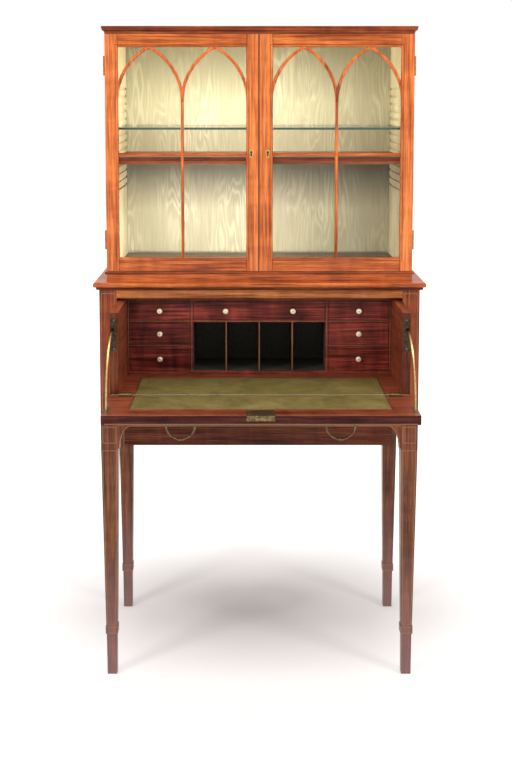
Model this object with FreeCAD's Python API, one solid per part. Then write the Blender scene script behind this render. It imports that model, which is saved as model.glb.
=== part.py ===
import FreeCAD, Part
import math
import os

# A secretary bookcase: a desk on four tapered legs whose deep drawer pulls out
# and drops its front to write on, and a shallow glazed bookcase on the desk top.
# Millimetres. +Z is up, the front faces -Y, and the origin is on the floor under
# the middle of the whole piece, with the writing drawer out and its front down.

V = FreeCAD.Vector
os.makedirs("parts", exist_ok=True)

# Driving dimensions of the desk
CASE_WIDTH = 797.0
CASE_DEPTH = 477.0
FRIEZE_HEIGHT = 22.0
WRITING_HEIGHT = 775.0
LEG = 43.0
LEG_BLOCK_BOTTOM = 595.0
LEG_ANKLE = 28.0
COLLAR_WIDTH = 31.0
COLLAR_NECK = 26.0
COLLAR_TOP = 128.0
COLLAR_BOTTOM = 108.0
FOOT_WIDTH = 24.5
APRON_BOTTOM = 652.0
APRON_THICK = 20.0
BRACKET_WIDTH = 33.0
BACK_BOTTOM = 485.0
BACK_THICK = 9.0
PANEL_THICK = 16.0
PANEL_INSET = 1.5
FRIEZE_DEPTH = 22.0
TOP_THICK = 19.0
TOP_BEAD = 7.0
TOP_SIDE_OVERHANG = 14.0
TOP_FRONT_OVERHANG = 17.0
BEAD_SET_BACK = 7.0
TOP_ROUND = 5.0
EASED_EDGE = 1.0

# Driving dimensions of the writing drawer and its fall front
DRAWER_OUT = 177.0
DRAWER_LENGTH = 400.0
DRAWER_SIDE = 20.0
DRAWER_SIDE_RISE = 196.0
DRAWER_BACK = 10.0
FLOOR_THICK = 21.0
FALL_HEIGHT = 200.0
FALL_THICK = 21.0
LIP_THICK = 9.0
LIP_LENGTH = 20.0
LEATHER_THICK = 1.0
LEATHER_RECESS = 1.2
LEATHER_HALF_WIDTH = 298.0
LEATHER_HINGE_MARGIN = 1.5
FALL_LEATHER_DEPTH = 140.5
FLOOR_LEATHER_DEPTH = 183.5
QUADRANT_RADIUS = 150.0
QUADRANT_DEPTH = 6.0
QUADRANT_THICK = 3.5
QUADRANT_INSET = 7.0
QUADRANT_TAIL = 7.0
QUADRANT_PLATE = 64.0
PLATE_WIDTH = 13.0
PLATE_THICK = 1.5
CATCH_WIDTH = 17.0
CATCH_LENGTH = 80.0
CATCH_CENTRE = 144.0
CATCH_SLOT = 5.0
FALL_HINGE_X = 318.0
KNUCKLE = 11.0
KNUCKLE_RADIUS = 3.0
HINGE_PIN = 1.2
HINGE_LEAF = 20.0
LEAF_THICK = 2.0
LOCK_WIDTH = 63.0
LOCK_DEPTH = 50.0
LOCK_CASE = 12.0
BOLT_WIDTH = 24.0
BOLT_THICK = 6.0
BOLT_THROW = 8.0
BOLT_FROM_FACE = 8.5
KEYHOLE_FROM_EDGE = 30.0
BAIL_SPACING = 362.0
BAIL_FROM_HINGE = 136.0
BAIL_WIDTH = 70.0
BAIL_DROP = 41.0
BAIL_ROD = 2.2
BAIL_PIVOT_DEPTH = 10.0
POST_HALF_SPACING = 25.0
POST_RADIUS = 3.6
ROSETTE_RADIUS = 9.0
ROSETTE_THICK = 2.0

# Driving dimensions of the pigeonhole unit inside the drawer
UNIT_FROM_HINGE = 231.0
UNIT_SIDE = 5.0
UNIT_TOP = 6.0
UNIT_BASE = 8.0
UNIT_BACK = 5.0
UNIT_RAIL = 4.0
UNIT_DIVIDER = 7.0
CENTRE_OPENING = 335.0
ROW_HEIGHTS = (62.0, 59.0, 50.0)
PIGEONHOLES = 4
PIGEON_DIVIDER = 4.5
BOX_FRONT = 8.0
BOX_WALL = 4.0
BOX_BOTTOM = 3.0
KNOB_RADIUS = 7.0
KNOB_LENGTH = 14.0
CENTRE_KNOB_X = 85.0

# Driving dimensions of the bookcase
BOOK_WIDTH = 761.0
BOOK_DEPTH = 395.0
BOOK_SET_BACK = 13.0
BOOK_SIDE = 12.0
BOOK_HEIGHT = 612.0
CORNICE_HEIGHT = 18.0
CORNICE_OVERHANG = 7.0
CORNICE_FILLET = 6.0
PLINTH_HEIGHT = 18.0
BASE_MOULDING = 7.0
BASE_OVERHANG = 4.5
BOARD_THICK = 12.0
BOOK_FLOOR_RISE = 25.2
BOOK_BACK = 12.0
SILK_THICK = 3.0
LINING_THICK = 5.0
SLOT_COUNT = 14
SLOT_PITCH = 20.0
SLOT_HEIGHT = 6.0
SLOT_DEPTH = 3.0
SLOT_FIRST_RISE = 216.0
WOOD_SHELF_SLOT = 4
GLASS_SHELF_SLOT = 8
WOOD_SHELF_THICK = 18.0
GLASS_SHELF_THICK = 5.5
SHELF_FRONT_GAP = 22.0

# Driving dimensions of the glazed doors
DOOR_THICK = 20.0
DOOR_STILE = 32.5
DOOR_TOP_RAIL = 32.0
DOOR_BOTTOM_RAIL = 34.0
MEETING_GAP = 0.5
MEETING_BEAD = 7.0
BEAD_PROUD = 2.5
CROSS_BAR_RISE = 316.0
BAR_WIDTH = 7.5
ARCH_BAR_WIDTH = 8.0
BAR_DEPTH = 9.0
BAR_TONGUE = 3.0
ARCH_RADIUS = 150.0
ARCH_FOOT = 20.0
GLASS_THICK = 3.0
GLASS_LAP = 4.0
DOOR_HINGE_RISES = (102.0, 534.0)
DOOR_KNUCKLE = 16.0
DOOR_KNUCKLE_RADIUS = 2.8
DOOR_LEAF = 11.0
DOOR_LEAF_THICK = 1.5
ESCUTCHEON_HEIGHT = 19.0
ESCUTCHEON_WIDTH = 10.5
ESCUTCHEON_PLACE = 0.62
ESCUTCHEON_DEPTH = 3.0
DOOR_LOCK_HEIGHT = 48.0
DOOR_LOCK_WIDTH = 24.0
DOOR_LOCK_DEPTH = 9.0

# Clearances
SLIDE_GAP = 1.0
JOINT_GAP = 0.3
DOOR_GAP = 0.8
BOX_GAP = 0.5
FIT_GAP = 0.2
PIN_GAP = 0.05
CHANNEL_GAP = 0.6
FALL_TOP_GAP = 2.0

# Planes worked out from the driving dimensions
FRONT = -(CASE_DEPTH - DRAWER_OUT - FALL_HEIGHT) / 2
BACK = FRONT + CASE_DEPTH
HALF = CASE_WIDTH / 2
OPENING_HALF = HALF - LEG
HINGE_Y = FRONT - DRAWER_OUT
FREE_EDGE = HINGE_Y - FALL_HEIGHT
FRIEZE_BOTTOM = WRITING_HEIGHT + FALL_HEIGHT + FALL_TOP_GAP
CASE_TOP = FRIEZE_BOTTOM + FRIEZE_HEIGHT
DRAWER_BOTTOM = WRITING_HEIGHT - FLOOR_THICK
DRAWER_HALF = OPENING_HALF - SLIDE_GAP
DRAWER_INNER = DRAWER_HALF - DRAWER_SIDE
DRAWER_END = HINGE_Y + DRAWER_LENGTH
DRAWER_TRAVEL = DRAWER_OUT + FALL_THICK
APRON_TOP = DRAWER_BOTTOM - SLIDE_GAP
DESK_TOP = CASE_TOP + TOP_THICK
BOOK_TOP = DESK_TOP + BOOK_HEIGHT
CROSS_BAR_Z = DESK_TOP + CROSS_BAR_RISE
DOOR_HINGE_HEIGHTS = [DESK_TOP + rise for rise in DOOR_HINGE_RISES]
PANEL_OUTER = HALF - PANEL_INSET
PANEL_INNER = PANEL_OUTER - PANEL_THICK
REAR_LEG_FRONT = BACK - LEG
BACK_INNER = REAR_LEG_FRONT - BACK_THICK
BOOK_HALF = BOOK_WIDTH / 2
DOOR_FRONT = FRONT + BOOK_SET_BACK
DOOR_BACK = DOOR_FRONT + DOOR_THICK
BOOK_FRONT = DOOR_BACK + DOOR_GAP
DOOR_BOTTOM_Z = DESK_TOP + PLINTH_HEIGHT + BASE_MOULDING + DOOR_GAP
DOOR_TOP_Z = BOOK_TOP - DOOR_GAP
BOOK_INNER = BOOK_HALF - BOOK_SIDE
LINING_INNER = BOOK_INNER - LINING_THICK
BOOK_FLOOR = DESK_TOP + BOOK_FLOOR_RISE
BOOK_REAR = DOOR_FRONT + BOOK_DEPTH
BOOK_BACK_FRONT = BOOK_REAR - BOOK_BACK
SILK_FRONT = BOOK_BACK_FRONT - SILK_THICK


def box(x0, x1, y0, y1, z0, z1):
    return Part.makeBox(x1 - x0, y1 - y0, z1 - z0, V(x0, y0, z0))


def cylinder(radius, length, start, direction):
    return Part.makeCylinder(radius, length, start, direction)


def polygon(points):
    return Part.makePolygon(points + points[:1])


def prism_along_x(points, x0, x1):
    """A solid whose section, a list of (y, z), runs from x0 to x1."""
    face = Part.Face(polygon([V(x0, y, z) for y, z in points]))
    return face.extrude(V(x1 - x0, 0, 0))


def prism_along_y(points, y0, y1):
    """A solid whose outline, a list of (x, z), runs from y0 to y1."""
    face = Part.Face(polygon([V(x, y0, z) for x, z in points]))
    return face.extrude(V(0, y1 - y0, 0))


def flip(shape):
    """The same shape on the other side of the middle plane."""
    return shape.mirror(V(0, 0, 0), V(1, 0, 0))


def pair(shape):
    return [shape, flip(shape)]


def edges_where(shape, test):
    """The shape's straight edges whose middle point passes a test."""
    found = []
    for edge in shape.Edges:
        middle = edge.CenterOfMass
        if test(middle, edge):
            found.append(edge)
    return found


def ease(shape, test):
    """Take the sharpness off the edges that pass a test."""
    return shape.makeFillet(EASED_EDGE, edges_where(shape, test))


def save(name, solids):
    shape = solids[0] if len(solids) == 1 else Part.makeCompound(solids)
    shape.exportStep("parts/" + name + ".step")
    print(name, "solids", len(shape.Solids), "valid", shape.isValid())


# Legs

def square_taper(half_x, middle, low_width, high_width, z0, z1):
    """A four-sided taper standing on one leg's centre line."""
    rings = []
    for width, z in ((low_width, z0), (high_width, z1)):
        h = width / 2
        corners = [V(half_x + a * h, middle + b * h, z) for a, b in ((-1, -1), (1, -1), (1, 1), (-1, 1))]
        rings.append(polygon(corners))
    return Part.makeLoft(rings, True, True)


def leg(centre_x, centre_y, top):
    foot = square_taper(centre_x, centre_y, FOOT_WIDTH, COLLAR_NECK, 0, COLLAR_BOTTOM)
    h = COLLAR_NECK / 2
    neck = box(centre_x - h, centre_x + h, centre_y - h, centre_y + h, COLLAR_BOTTOM, COLLAR_TOP)
    shaft = square_taper(centre_x, centre_y, LEG_ANKLE, LEG, COLLAR_TOP, LEG_BLOCK_BOTTOM)
    h = LEG / 2
    block = box(centre_x - h, centre_x + h, centre_y - h, centre_y + h, LEG_BLOCK_BOTTOM, top)
    return foot.fuse([neck, shaft, block]).removeSplitter()


def collar(centre_x, centre_y):
    h = COLLAR_WIDTH / 2
    n = COLLAR_NECK / 2
    outer = box(centre_x - h, centre_x + h, centre_y - h, centre_y + h, COLLAR_BOTTOM, COLLAR_TOP)
    hole = box(centre_x - n, centre_x + n, centre_y - n, centre_y + n, COLLAR_BOTTOM, COLLAR_TOP)
    return outer.cut(hole)


LEG_X = HALF - LEG / 2
FRONT_LEG_Y = FRONT + LEG / 2
REAR_LEG_Y = BACK - LEG / 2
save("front_legs", pair(leg(-LEG_X, FRONT_LEG_Y, CASE_TOP)))
save("rear_legs", pair(leg(-LEG_X, REAR_LEG_Y, CASE_TOP)))
save("leg_collars", pair(collar(-LEG_X, FRONT_LEG_Y)) + pair(collar(-LEG_X, REAR_LEG_Y)))


# Rails and panels of the desk case

apron = box(-OPENING_HALF, OPENING_HALF, FRONT, FRONT + APRON_THICK, APRON_BOTTOM, APRON_TOP)
save("front_apron", [ease(apron, lambda p, e: p.y < FRONT + 0.1 and p.z > APRON_TOP - 0.1)])


def corner_bracket():
    """A quarter-round bracket between a front leg and the apron."""
    x0 = -OPENING_HALF
    drop = APRON_BOTTOM - LEG_BLOCK_BOTTOM
    blank = box(x0, x0 + BRACKET_WIDTH, FRONT, FRONT + APRON_THICK, LEG_BLOCK_BOTTOM, APRON_BOTTOM)
    toe = 4.0
    curve = Part.Ellipse(V(0, 0, 0), drop, BRACKET_WIDTH - toe).toShape()
    scoop = Part.Face(Part.Wire(curve)).extrude(V(0, 0, APRON_THICK * 3))
    scoop.rotate(V(0, 0, 0), V(0, 0, 1), 90)
    scoop.rotate(V(0, 0, 0), V(1, 0, 0), 90)
    scoop.translate(V(x0 + BRACKET_WIDTH, FRONT + APRON_THICK * 2, LEG_BLOCK_BOTTOM))
    return blank.cut(scoop)


save("corner_brackets", pair(corner_bracket()))
side_panel = box(-PANEL_OUTER, -PANEL_INNER, FRONT + LEG, REAR_LEG_FRONT, APRON_BOTTOM, CASE_TOP)
save("side_panels", pair(side_panel))
save("lower_back", [box(-PANEL_INNER, PANEL_INNER, BACK_INNER, REAR_LEG_FRONT, BACK_BOTTOM, CASE_TOP)])

frieze = box(-OPENING_HALF, OPENING_HALF, FRONT, FRONT + FRIEZE_DEPTH, FRIEZE_BOTTOM, CASE_TOP)
bolt_y = FRONT + FALL_THICK - BOLT_FROM_FACE
frieze = ease(frieze, lambda p, e: p.y < FRONT + 0.1 and p.z < FRIEZE_BOTTOM + 0.1)
mortise_half = BOLT_WIDTH / 2 + SLIDE_GAP
mortise_top = FRIEZE_BOTTOM + BOLT_THROW + SLIDE_GAP
mortise_side = BOLT_THICK / 2 + SLIDE_GAP
mortise = box(-mortise_half, mortise_half, bolt_y - mortise_side, bolt_y + mortise_side,
              FRIEZE_BOTTOM, mortise_top)
save("frieze_rail", [frieze.cut(mortise)])

# Runners carry the drawer, guides keep it straight, kickers stop it tipping,
# and two stops meet its back when it is pushed home.
RUNNER_HEIGHT = 18.0
GUIDE_HEIGHT = 20.0
RUNNER_INNER = DRAWER_HALF - DRAWER_SIDE - 6.0
KICKER_BOTTOM = WRITING_HEIGHT + DRAWER_SIDE_RISE + SLIDE_GAP
KICKER_TOP = KICKER_BOTTOM + RUNNER_HEIGHT
runner_front = FRONT + LEG
runner_back = BACK_INNER
rails = []
rails += pair(box(-PANEL_INNER, -RUNNER_INNER, runner_front, runner_back,
                  DRAWER_BOTTOM - RUNNER_HEIGHT, DRAWER_BOTTOM))
rails += pair(box(-PANEL_INNER, -OPENING_HALF, runner_front, runner_back,
                  DRAWER_BOTTOM, DRAWER_BOTTOM + GUIDE_HEIGHT))
rails += pair(box(-PANEL_INNER, -RUNNER_INNER, runner_front, runner_back, KICKER_BOTTOM, KICKER_TOP))
stop_front = DRAWER_END + DRAWER_TRAVEL
rails += pair(box(-OPENING_HALF, -RUNNER_INNER, stop_front, runner_back,
                  DRAWER_BOTTOM, DRAWER_BOTTOM + GUIDE_HEIGHT))
save("drawer_runners", rails)


def desk_top_board():
    half = HALF + TOP_SIDE_OVERHANG
    front = FRONT - TOP_FRONT_OVERHANG
    upper = box(-half, half, front, BACK, CASE_TOP + TOP_BEAD, DESK_TOP)
    middle = (CASE_TOP + TOP_BEAD + DESK_TOP) / 2
    nose = edges_where(upper, lambda p, e: p.y < BACK - 1 and abs(p.z - middle) > 1)
    upper = upper.makeFillet(TOP_ROUND, nose)
    low_half = half - BEAD_SET_BACK
    lower = box(-low_half, low_half, front + BEAD_SET_BACK, BACK, CASE_TOP, CASE_TOP + TOP_BEAD)
    bead = edges_where(lower, lambda p, e: p.y < BACK - 1 and abs(p.z - CASE_TOP) < 0.1)
    lower = lower.makeFillet(TOP_BEAD * 0.6, bead)
    return upper.fuse(lower)


save("desk_top", [desk_top_board()])


# The writing drawer, which slides in the case

def quadrant_arc(x, from_angle, to_angle, radius, depth, thick):
    """Part of a flat ring round the fall's hinge line, angles up from the open fall."""
    outer = cylinder(radius + depth / 2, thick, V(x - thick / 2, HINGE_Y, WRITING_HEIGHT), V(1, 0, 0))
    inner = cylinder(radius - depth / 2, thick, V(x - thick / 2, HINGE_Y, WRITING_HEIGHT), V(1, 0, 0))
    ring = outer.cut(inner)
    reach = radius * 3
    points = [(HINGE_Y, WRITING_HEIGHT)]
    steps = 4
    for step in range(steps + 1):
        angle = math.radians(from_angle + (to_angle - from_angle) * step / steps)
        points.append((HINGE_Y - reach * math.cos(angle), WRITING_HEIGHT + reach * math.sin(angle)))
    wedge = prism_along_x(points, x - thick, x + thick)
    return ring.common(wedge)


QUADRANT_X = DRAWER_HALF - QUADRANT_INSET
SIDE_FRONT = HINGE_Y + JOINT_GAP
SIDE_TOP = WRITING_HEIGHT + DRAWER_SIDE_RISE


def keyhole_prism(x, z, width, height, y0, y1):
    """A keyhole outline: a round eye over a narrower slot, from y0 to y1."""
    eye = cylinder(width * 0.5, y1 - y0, V(x, y0, z + height / 2 - width * 0.5), V(0, 1, 0))
    slot = box(x - width * 0.3, x + width * 0.3, y0, y1, z - height / 2, z + height / 2 - width * 0.5)
    return eye.fuse(slot)


def catch_slot(x, y0, y1):
    """The tall slot that a quadrant passes through, wide enough at its round top."""
    low = WRITING_HEIGHT + QUADRANT_RADIUS - QUADRANT_DEPTH
    high = WRITING_HEIGHT + QUADRANT_RADIUS + QUADRANT_DEPTH
    half = CATCH_SLOT / 2
    slot = box(x - half, x + half, y0, y1, low, high)
    eye = cylinder(half * 1.6, y1 - y0, V(x, y0, high), V(0, 1, 0))
    return slot.fuse(eye)


def drawer_side():
    board = box(-DRAWER_HALF, -DRAWER_INNER, SIDE_FRONT, DRAWER_END, DRAWER_BOTTOM, SIDE_TOP)
    board = ease(board, lambda p, e: p.z > SIDE_TOP - 0.1 and e.Length > DRAWER_SIDE + 1)
    x = -QUADRANT_X
    channel = quadrant_arc(x, 85, 180 + QUADRANT_TAIL + 2, QUADRANT_RADIUS,
                           QUADRANT_DEPTH + 2 * CHANNEL_GAP, QUADRANT_THICK + 2 * CHANNEL_GAP)
    z0 = WRITING_HEIGHT + CATCH_CENTRE - CATCH_LENGTH / 2
    seat = box(x - CATCH_WIDTH / 2 + 3, x + CATCH_WIDTH / 2 + 3, SIDE_FRONT, SIDE_FRONT + PLATE_THICK,
               z0, z0 + CATCH_LENGTH)
    return board.cut(channel).cut(seat).cut(catch_slot(x, SIDE_FRONT, SIDE_FRONT + 12))


def catch_plate():
    x = -QUADRANT_X
    z0 = WRITING_HEIGHT + CATCH_CENTRE - CATCH_LENGTH / 2
    plate = box(x - CATCH_WIDTH / 2 + 3, x + CATCH_WIDTH / 2 + 3, SIDE_FRONT, SIDE_FRONT + PLATE_THICK,
                z0, z0 + CATCH_LENGTH)
    return plate.cut(catch_slot(x, SIDE_FRONT, SIDE_FRONT + PLATE_THICK))


drawer_back = box(-DRAWER_INNER, DRAWER_INNER, DRAWER_END - DRAWER_BACK, DRAWER_END, WRITING_HEIGHT, SIDE_TOP)
save("drawer_box", pair(drawer_side()) + [drawer_back])


def hinge_barrel(x0, x1, radius):
    return cylinder(radius, x1 - x0, V(x0, HINGE_Y, WRITING_HEIGHT), V(1, 0, 0))


def hinge_clearance(x):
    """The room round one fall hinge's knuckles that both boards leave free."""
    half = KNUCKLE * 1.5 + JOINT_GAP
    return hinge_barrel(x - half, x + half, KNUCKLE_RADIUS + JOINT_GAP)


def leaf_box(x, side, gap):
    """One leaf lying flush in the board, side -1 for the fall, +1 for the drawer."""
    half = KNUCKLE * 1.5 + gap
    near = HINGE_Y + side * (KNUCKLE_RADIUS + JOINT_GAP)
    far = HINGE_Y + side * (KNUCKLE_RADIUS + HINGE_LEAF + gap)
    return box(x - half, x + half, min(near, far), max(near, far),
               WRITING_HEIGHT - LEAF_THICK - gap, WRITING_HEIGHT)


def fall_hinge_drawer_half(x):
    leaf = leaf_box(x, 1, 0)
    parts = []
    for sign in (-1, 1):
        a = x + sign * KNUCKLE / 2 + sign * JOINT_GAP
        b = x + sign * KNUCKLE * 1.5
        parts.append(hinge_barrel(min(a, b), max(a, b), KNUCKLE_RADIUS))
        parts.append(box(min(a, b), max(a, b), HINGE_Y + HINGE_PIN, HINGE_Y + KNUCKLE_RADIUS + 1,
                         WRITING_HEIGHT - LEAF_THICK, WRITING_HEIGHT))
    pin = hinge_barrel(x - KNUCKLE * 1.5, x + KNUCKLE * 1.5, HINGE_PIN)
    return leaf.fuse(parts + [pin])


def fall_hinge_fall_half(x):
    leaf = leaf_box(x, -1, 0)
    knuckle = hinge_barrel(x - KNUCKLE / 2, x + KNUCKLE / 2, KNUCKLE_RADIUS)
    web = box(x - KNUCKLE / 2, x + KNUCKLE / 2, HINGE_Y - KNUCKLE_RADIUS - 1, HINGE_Y - HINGE_PIN,
              WRITING_HEIGHT - LEAF_THICK, WRITING_HEIGHT)
    hole = hinge_barrel(x - KNUCKLE, x + KNUCKLE, HINGE_PIN + PIN_GAP)
    return leaf.fuse([knuckle, web]).cut(hole)


def both_hinges(make):
    return [make(-FALL_HINGE_X), make(FALL_HINGE_X)]


def drawer_floor():
    board = box(-DRAWER_INNER, DRAWER_INNER, HINGE_Y + JOINT_GAP, DRAWER_END, DRAWER_BOTTOM, WRITING_HEIGHT)
    rebate_top = WRITING_HEIGHT - FALL_THICK + LIP_THICK + SLIDE_GAP
    rebate_back = HINGE_Y + LIP_LENGTH + SLIDE_GAP
    rebate = box(-DRAWER_HALF, DRAWER_HALF, HINGE_Y, rebate_back, DRAWER_BOTTOM, rebate_top)
    back_edge = HINGE_Y + LEATHER_HINGE_MARGIN + FLOOR_LEATHER_DEPTH
    recess = box(-LEATHER_HALF_WIDTH, LEATHER_HALF_WIDTH, HINGE_Y + LEATHER_HINGE_MARGIN, back_edge,
                 WRITING_HEIGHT - LEATHER_RECESS, WRITING_HEIGHT)
    board = board.cut(rebate).cut(recess)
    for x in (-FALL_HINGE_X, FALL_HINGE_X):
        board = board.cut(hinge_clearance(x)).cut(fall_hinge_drawer_half(x))
    return board


leather_low = WRITING_HEIGHT - LEATHER_RECESS
floor_leather_front = HINGE_Y + LEATHER_HINGE_MARGIN + FIT_GAP
floor_leather_back = HINGE_Y + LEATHER_HINGE_MARGIN + FLOOR_LEATHER_DEPTH - FIT_GAP
leather_half = LEATHER_HALF_WIDTH - FIT_GAP
save("drawer_floor", [drawer_floor()])
save("writing_leather", [box(-leather_half, leather_half, floor_leather_front, floor_leather_back,
                             leather_low, leather_low + LEATHER_THICK)])
save("drawer_brasses", both_hinges(fall_hinge_drawer_half) + pair(catch_plate()))


# The fall front, hinged to the drawer floor

LIP_CUT_END = DRAWER_INNER - SLIDE_GAP


def lock_body(gap):
    """The box lock: a thick case let into the fall from its inner face and free edge."""
    half = LOCK_WIDTH / 2 + gap
    top = WRITING_HEIGHT
    return box(-half, half, FREE_EDGE, FREE_EDGE + LOCK_DEPTH + gap, top - LOCK_CASE - gap, top)


def lock_bolt():
    half = BOLT_WIDTH / 2
    z = WRITING_HEIGHT - BOLT_FROM_FACE
    side = BOLT_THICK / 2
    return box(-half, half, FREE_EDGE + FIT_GAP, FREE_EDGE + LOCK_DEPTH * 0.6, z - side, z + side)


def bolt_channel():
    half = BOLT_WIDTH / 2 + FIT_GAP
    z = WRITING_HEIGHT - BOLT_FROM_FACE
    side = BOLT_THICK / 2 + FIT_GAP
    return box(-half, half, FREE_EDGE, FREE_EDGE + LOCK_DEPTH * 0.6 + FIT_GAP, z - side, z + side)


FALL_BOTTOM = WRITING_HEIGHT - FALL_THICK
KEYHOLE_Y = FREE_EDGE + KEYHOLE_FROM_EDGE


def key_eye(radius, z0, z1):
    """The key's way through the fall, an eye and a slot standing upright."""
    eye = cylinder(radius, z1 - z0, V(0, KEYHOLE_Y, z0), V(0, 0, 1))
    slot = box(-radius * 0.5, radius * 0.5, KEYHOLE_Y, KEYHOLE_Y + radius * 2.6, z0, z1)
    return eye.fuse(slot)


def quadrant_plate(x, gap):
    y = HINGE_Y - QUADRANT_RADIUS
    half_w = PLATE_WIDTH / 2 + gap
    half_l = QUADRANT_PLATE / 2 + gap
    low = WRITING_HEIGHT - PLATE_THICK - gap
    return box(x - half_w, x + half_w, y - half_l, y + half_l, low, WRITING_HEIGHT)


def fall_board():
    board = box(-DRAWER_HALF, DRAWER_HALF, FREE_EDGE, HINGE_Y - JOINT_GAP, FALL_BOTTOM, WRITING_HEIGHT)
    board = ease(board, lambda p, e: p.y < FREE_EDGE + 0.1 and e.Length > FALL_THICK + 1)
    lip_top = FALL_BOTTOM + LIP_THICK
    lip = box(-LIP_CUT_END, LIP_CUT_END, HINGE_Y - 5, HINGE_Y + LIP_LENGTH, FALL_BOTTOM, lip_top)
    front_edge = HINGE_Y - LEATHER_HINGE_MARGIN - FALL_LEATHER_DEPTH
    recess = box(-LEATHER_HALF_WIDTH, LEATHER_HALF_WIDTH, front_edge, HINGE_Y - LEATHER_HINGE_MARGIN,
                 WRITING_HEIGHT - LEATHER_RECESS, WRITING_HEIGHT)
    board = board.fuse(lip).cut(recess).cut(lock_body(FIT_GAP))
    board = board.cut(key_eye(4.2, FALL_BOTTOM, WRITING_HEIGHT))
    for x in (-FALL_HINGE_X, FALL_HINGE_X):
        board = board.cut(hinge_clearance(x)).cut(fall_hinge_fall_half(x))
    for x in (-QUADRANT_X, QUADRANT_X):
        board = board.cut(quadrant_plate(x, 0))
    return board.removeSplitter()


fall_leather_front = HINGE_Y - LEATHER_HINGE_MARGIN - FALL_LEATHER_DEPTH + FIT_GAP
fall_leather_back = HINGE_Y - LEATHER_HINGE_MARGIN - FIT_GAP
save("fall_panel", [fall_board()])
save("fall_leather", [box(-leather_half, leather_half, fall_leather_front, fall_leather_back,
                          leather_low, leather_low + LEATHER_THICK)])
save("fall_hinge_leaves", both_hinges(fall_hinge_fall_half))
lock_case = lock_body(0).cut(bolt_channel()).cut(key_eye(2.4, FALL_BOTTOM, WRITING_HEIGHT - 2))
escutcheon_ring = key_eye(4.0, FALL_BOTTOM, FALL_BOTTOM + 4).cut(key_eye(2.6, FALL_BOTTOM, FALL_BOTTOM + 4))
save("fall_lock", [lock_case, escutcheon_ring])
save("fall_lock_bolt", [lock_bolt()])


def quadrant_stay():
    x = -QUADRANT_X
    start = math.degrees(PLATE_THICK / QUADRANT_RADIUS)
    arc = quadrant_arc(x, -start / 2, 90 + QUADRANT_TAIL, QUADRANT_RADIUS, QUADRANT_DEPTH, QUADRANT_THICK)
    return arc.fuse(quadrant_plate(x, 0))


save("quadrant_stays", pair(quadrant_stay()))


# Bail handles, hanging from posts on the fall's outer face

BAIL_Y = HINGE_Y - BAIL_FROM_HINGE
BAIL_Z = FALL_BOTTOM - BAIL_PIVOT_DEPTH


def bail_post(x):
    rosette = cylinder(ROSETTE_RADIUS, ROSETTE_THICK, V(x, BAIL_Y, FALL_BOTTOM - ROSETTE_THICK), V(0, 0, 1))
    rim = edges_where(rosette, lambda p, e: abs(p.z - (FALL_BOTTOM - ROSETTE_THICK)) < 0.1)
    rosette = rosette.makeFillet(ROSETTE_THICK * 0.7, rim)
    stem = cylinder(POST_RADIUS, BAIL_PIVOT_DEPTH, V(x, BAIL_Y, BAIL_Z), V(0, 0, 1))
    ball = Part.makeSphere(POST_RADIUS + 1.2, V(x, BAIL_Y, BAIL_Z))
    hole = cylinder(BAIL_ROD * 0.7 + PIN_GAP, 30, V(x - 15, BAIL_Y, BAIL_Z), V(1, 0, 0))
    return rosette.fuse([stem, ball]).cut(hole)


def bail(x):
    """A bent rod: a pin in each post, turned down outside it into one round loop."""
    half = BAIL_WIDTH / 2 - BAIL_ROD
    straight = BAIL_DROP - half - BAIL_ROD
    left = V(x - half, BAIL_Y, BAIL_Z)
    right = V(x + half, BAIL_Y, BAIL_Z)
    arms = [cylinder(BAIL_ROD, straight, left, V(0, 0, -1)), cylinder(BAIL_ROD, straight, right, V(0, 0, -1))]
    loop = Part.makeTorus(half, BAIL_ROD, V(x, BAIL_Y, BAIL_Z - straight), V(0, 1, 0))
    keep = box(x - BAIL_WIDTH, x + BAIL_WIDTH, BAIL_Y - 10, BAIL_Y + 10,
               BAIL_Z - BAIL_DROP - 10, BAIL_Z - straight)
    elbows = [Part.makeSphere(BAIL_ROD, left), Part.makeSphere(BAIL_ROD, right)]
    inner = POST_HALF_SPACING - POST_RADIUS
    pin_length = half - inner
    pins = [cylinder(BAIL_ROD * 0.7, pin_length, left, V(1, 0, 0)),
            cylinder(BAIL_ROD * 0.7, pin_length, right, V(-1, 0, 0))]
    grip = cylinder(BAIL_ROD * 1.5, 14, V(x - 7, BAIL_Y, BAIL_Z - straight - half), V(1, 0, 0))
    grip = grip.makeFillet(BAIL_ROD * 0.9, grip.Edges)
    return loop.common(keep).fuse(arms + elbows + pins + [grip])


posts = []
for handle in (-1, 1):
    for end in (-1, 1):
        posts.append(bail_post(handle * BAIL_SPACING / 2 + end * POST_HALF_SPACING))
save("bail_posts", posts)
save("left_bail", [bail(-BAIL_SPACING / 2)])
save("right_bail", [bail(BAIL_SPACING / 2)])


# The pigeonhole unit and its seven small drawers

UNIT_FRONT = HINGE_Y + UNIT_FROM_HINGE
UNIT_END = DRAWER_END - DRAWER_BACK
UNIT_HALF = DRAWER_INNER - BOX_GAP
UNIT_LOW = WRITING_HEIGHT + UNIT_BASE
UNIT_HIGH = UNIT_LOW + sum(ROW_HEIGHTS) + UNIT_RAIL * (len(ROW_HEIGHTS) - 1)
CENTRE_HALF = CENTRE_OPENING / 2
STACK_INNER = CENTRE_HALF + UNIT_DIVIDER
STACK_OUTER = UNIT_HALF - UNIT_SIDE
CELL_END = UNIT_END - UNIT_BACK
TOP_ROW_LOW = UNIT_HIGH - ROW_HEIGHTS[-1]


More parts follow.
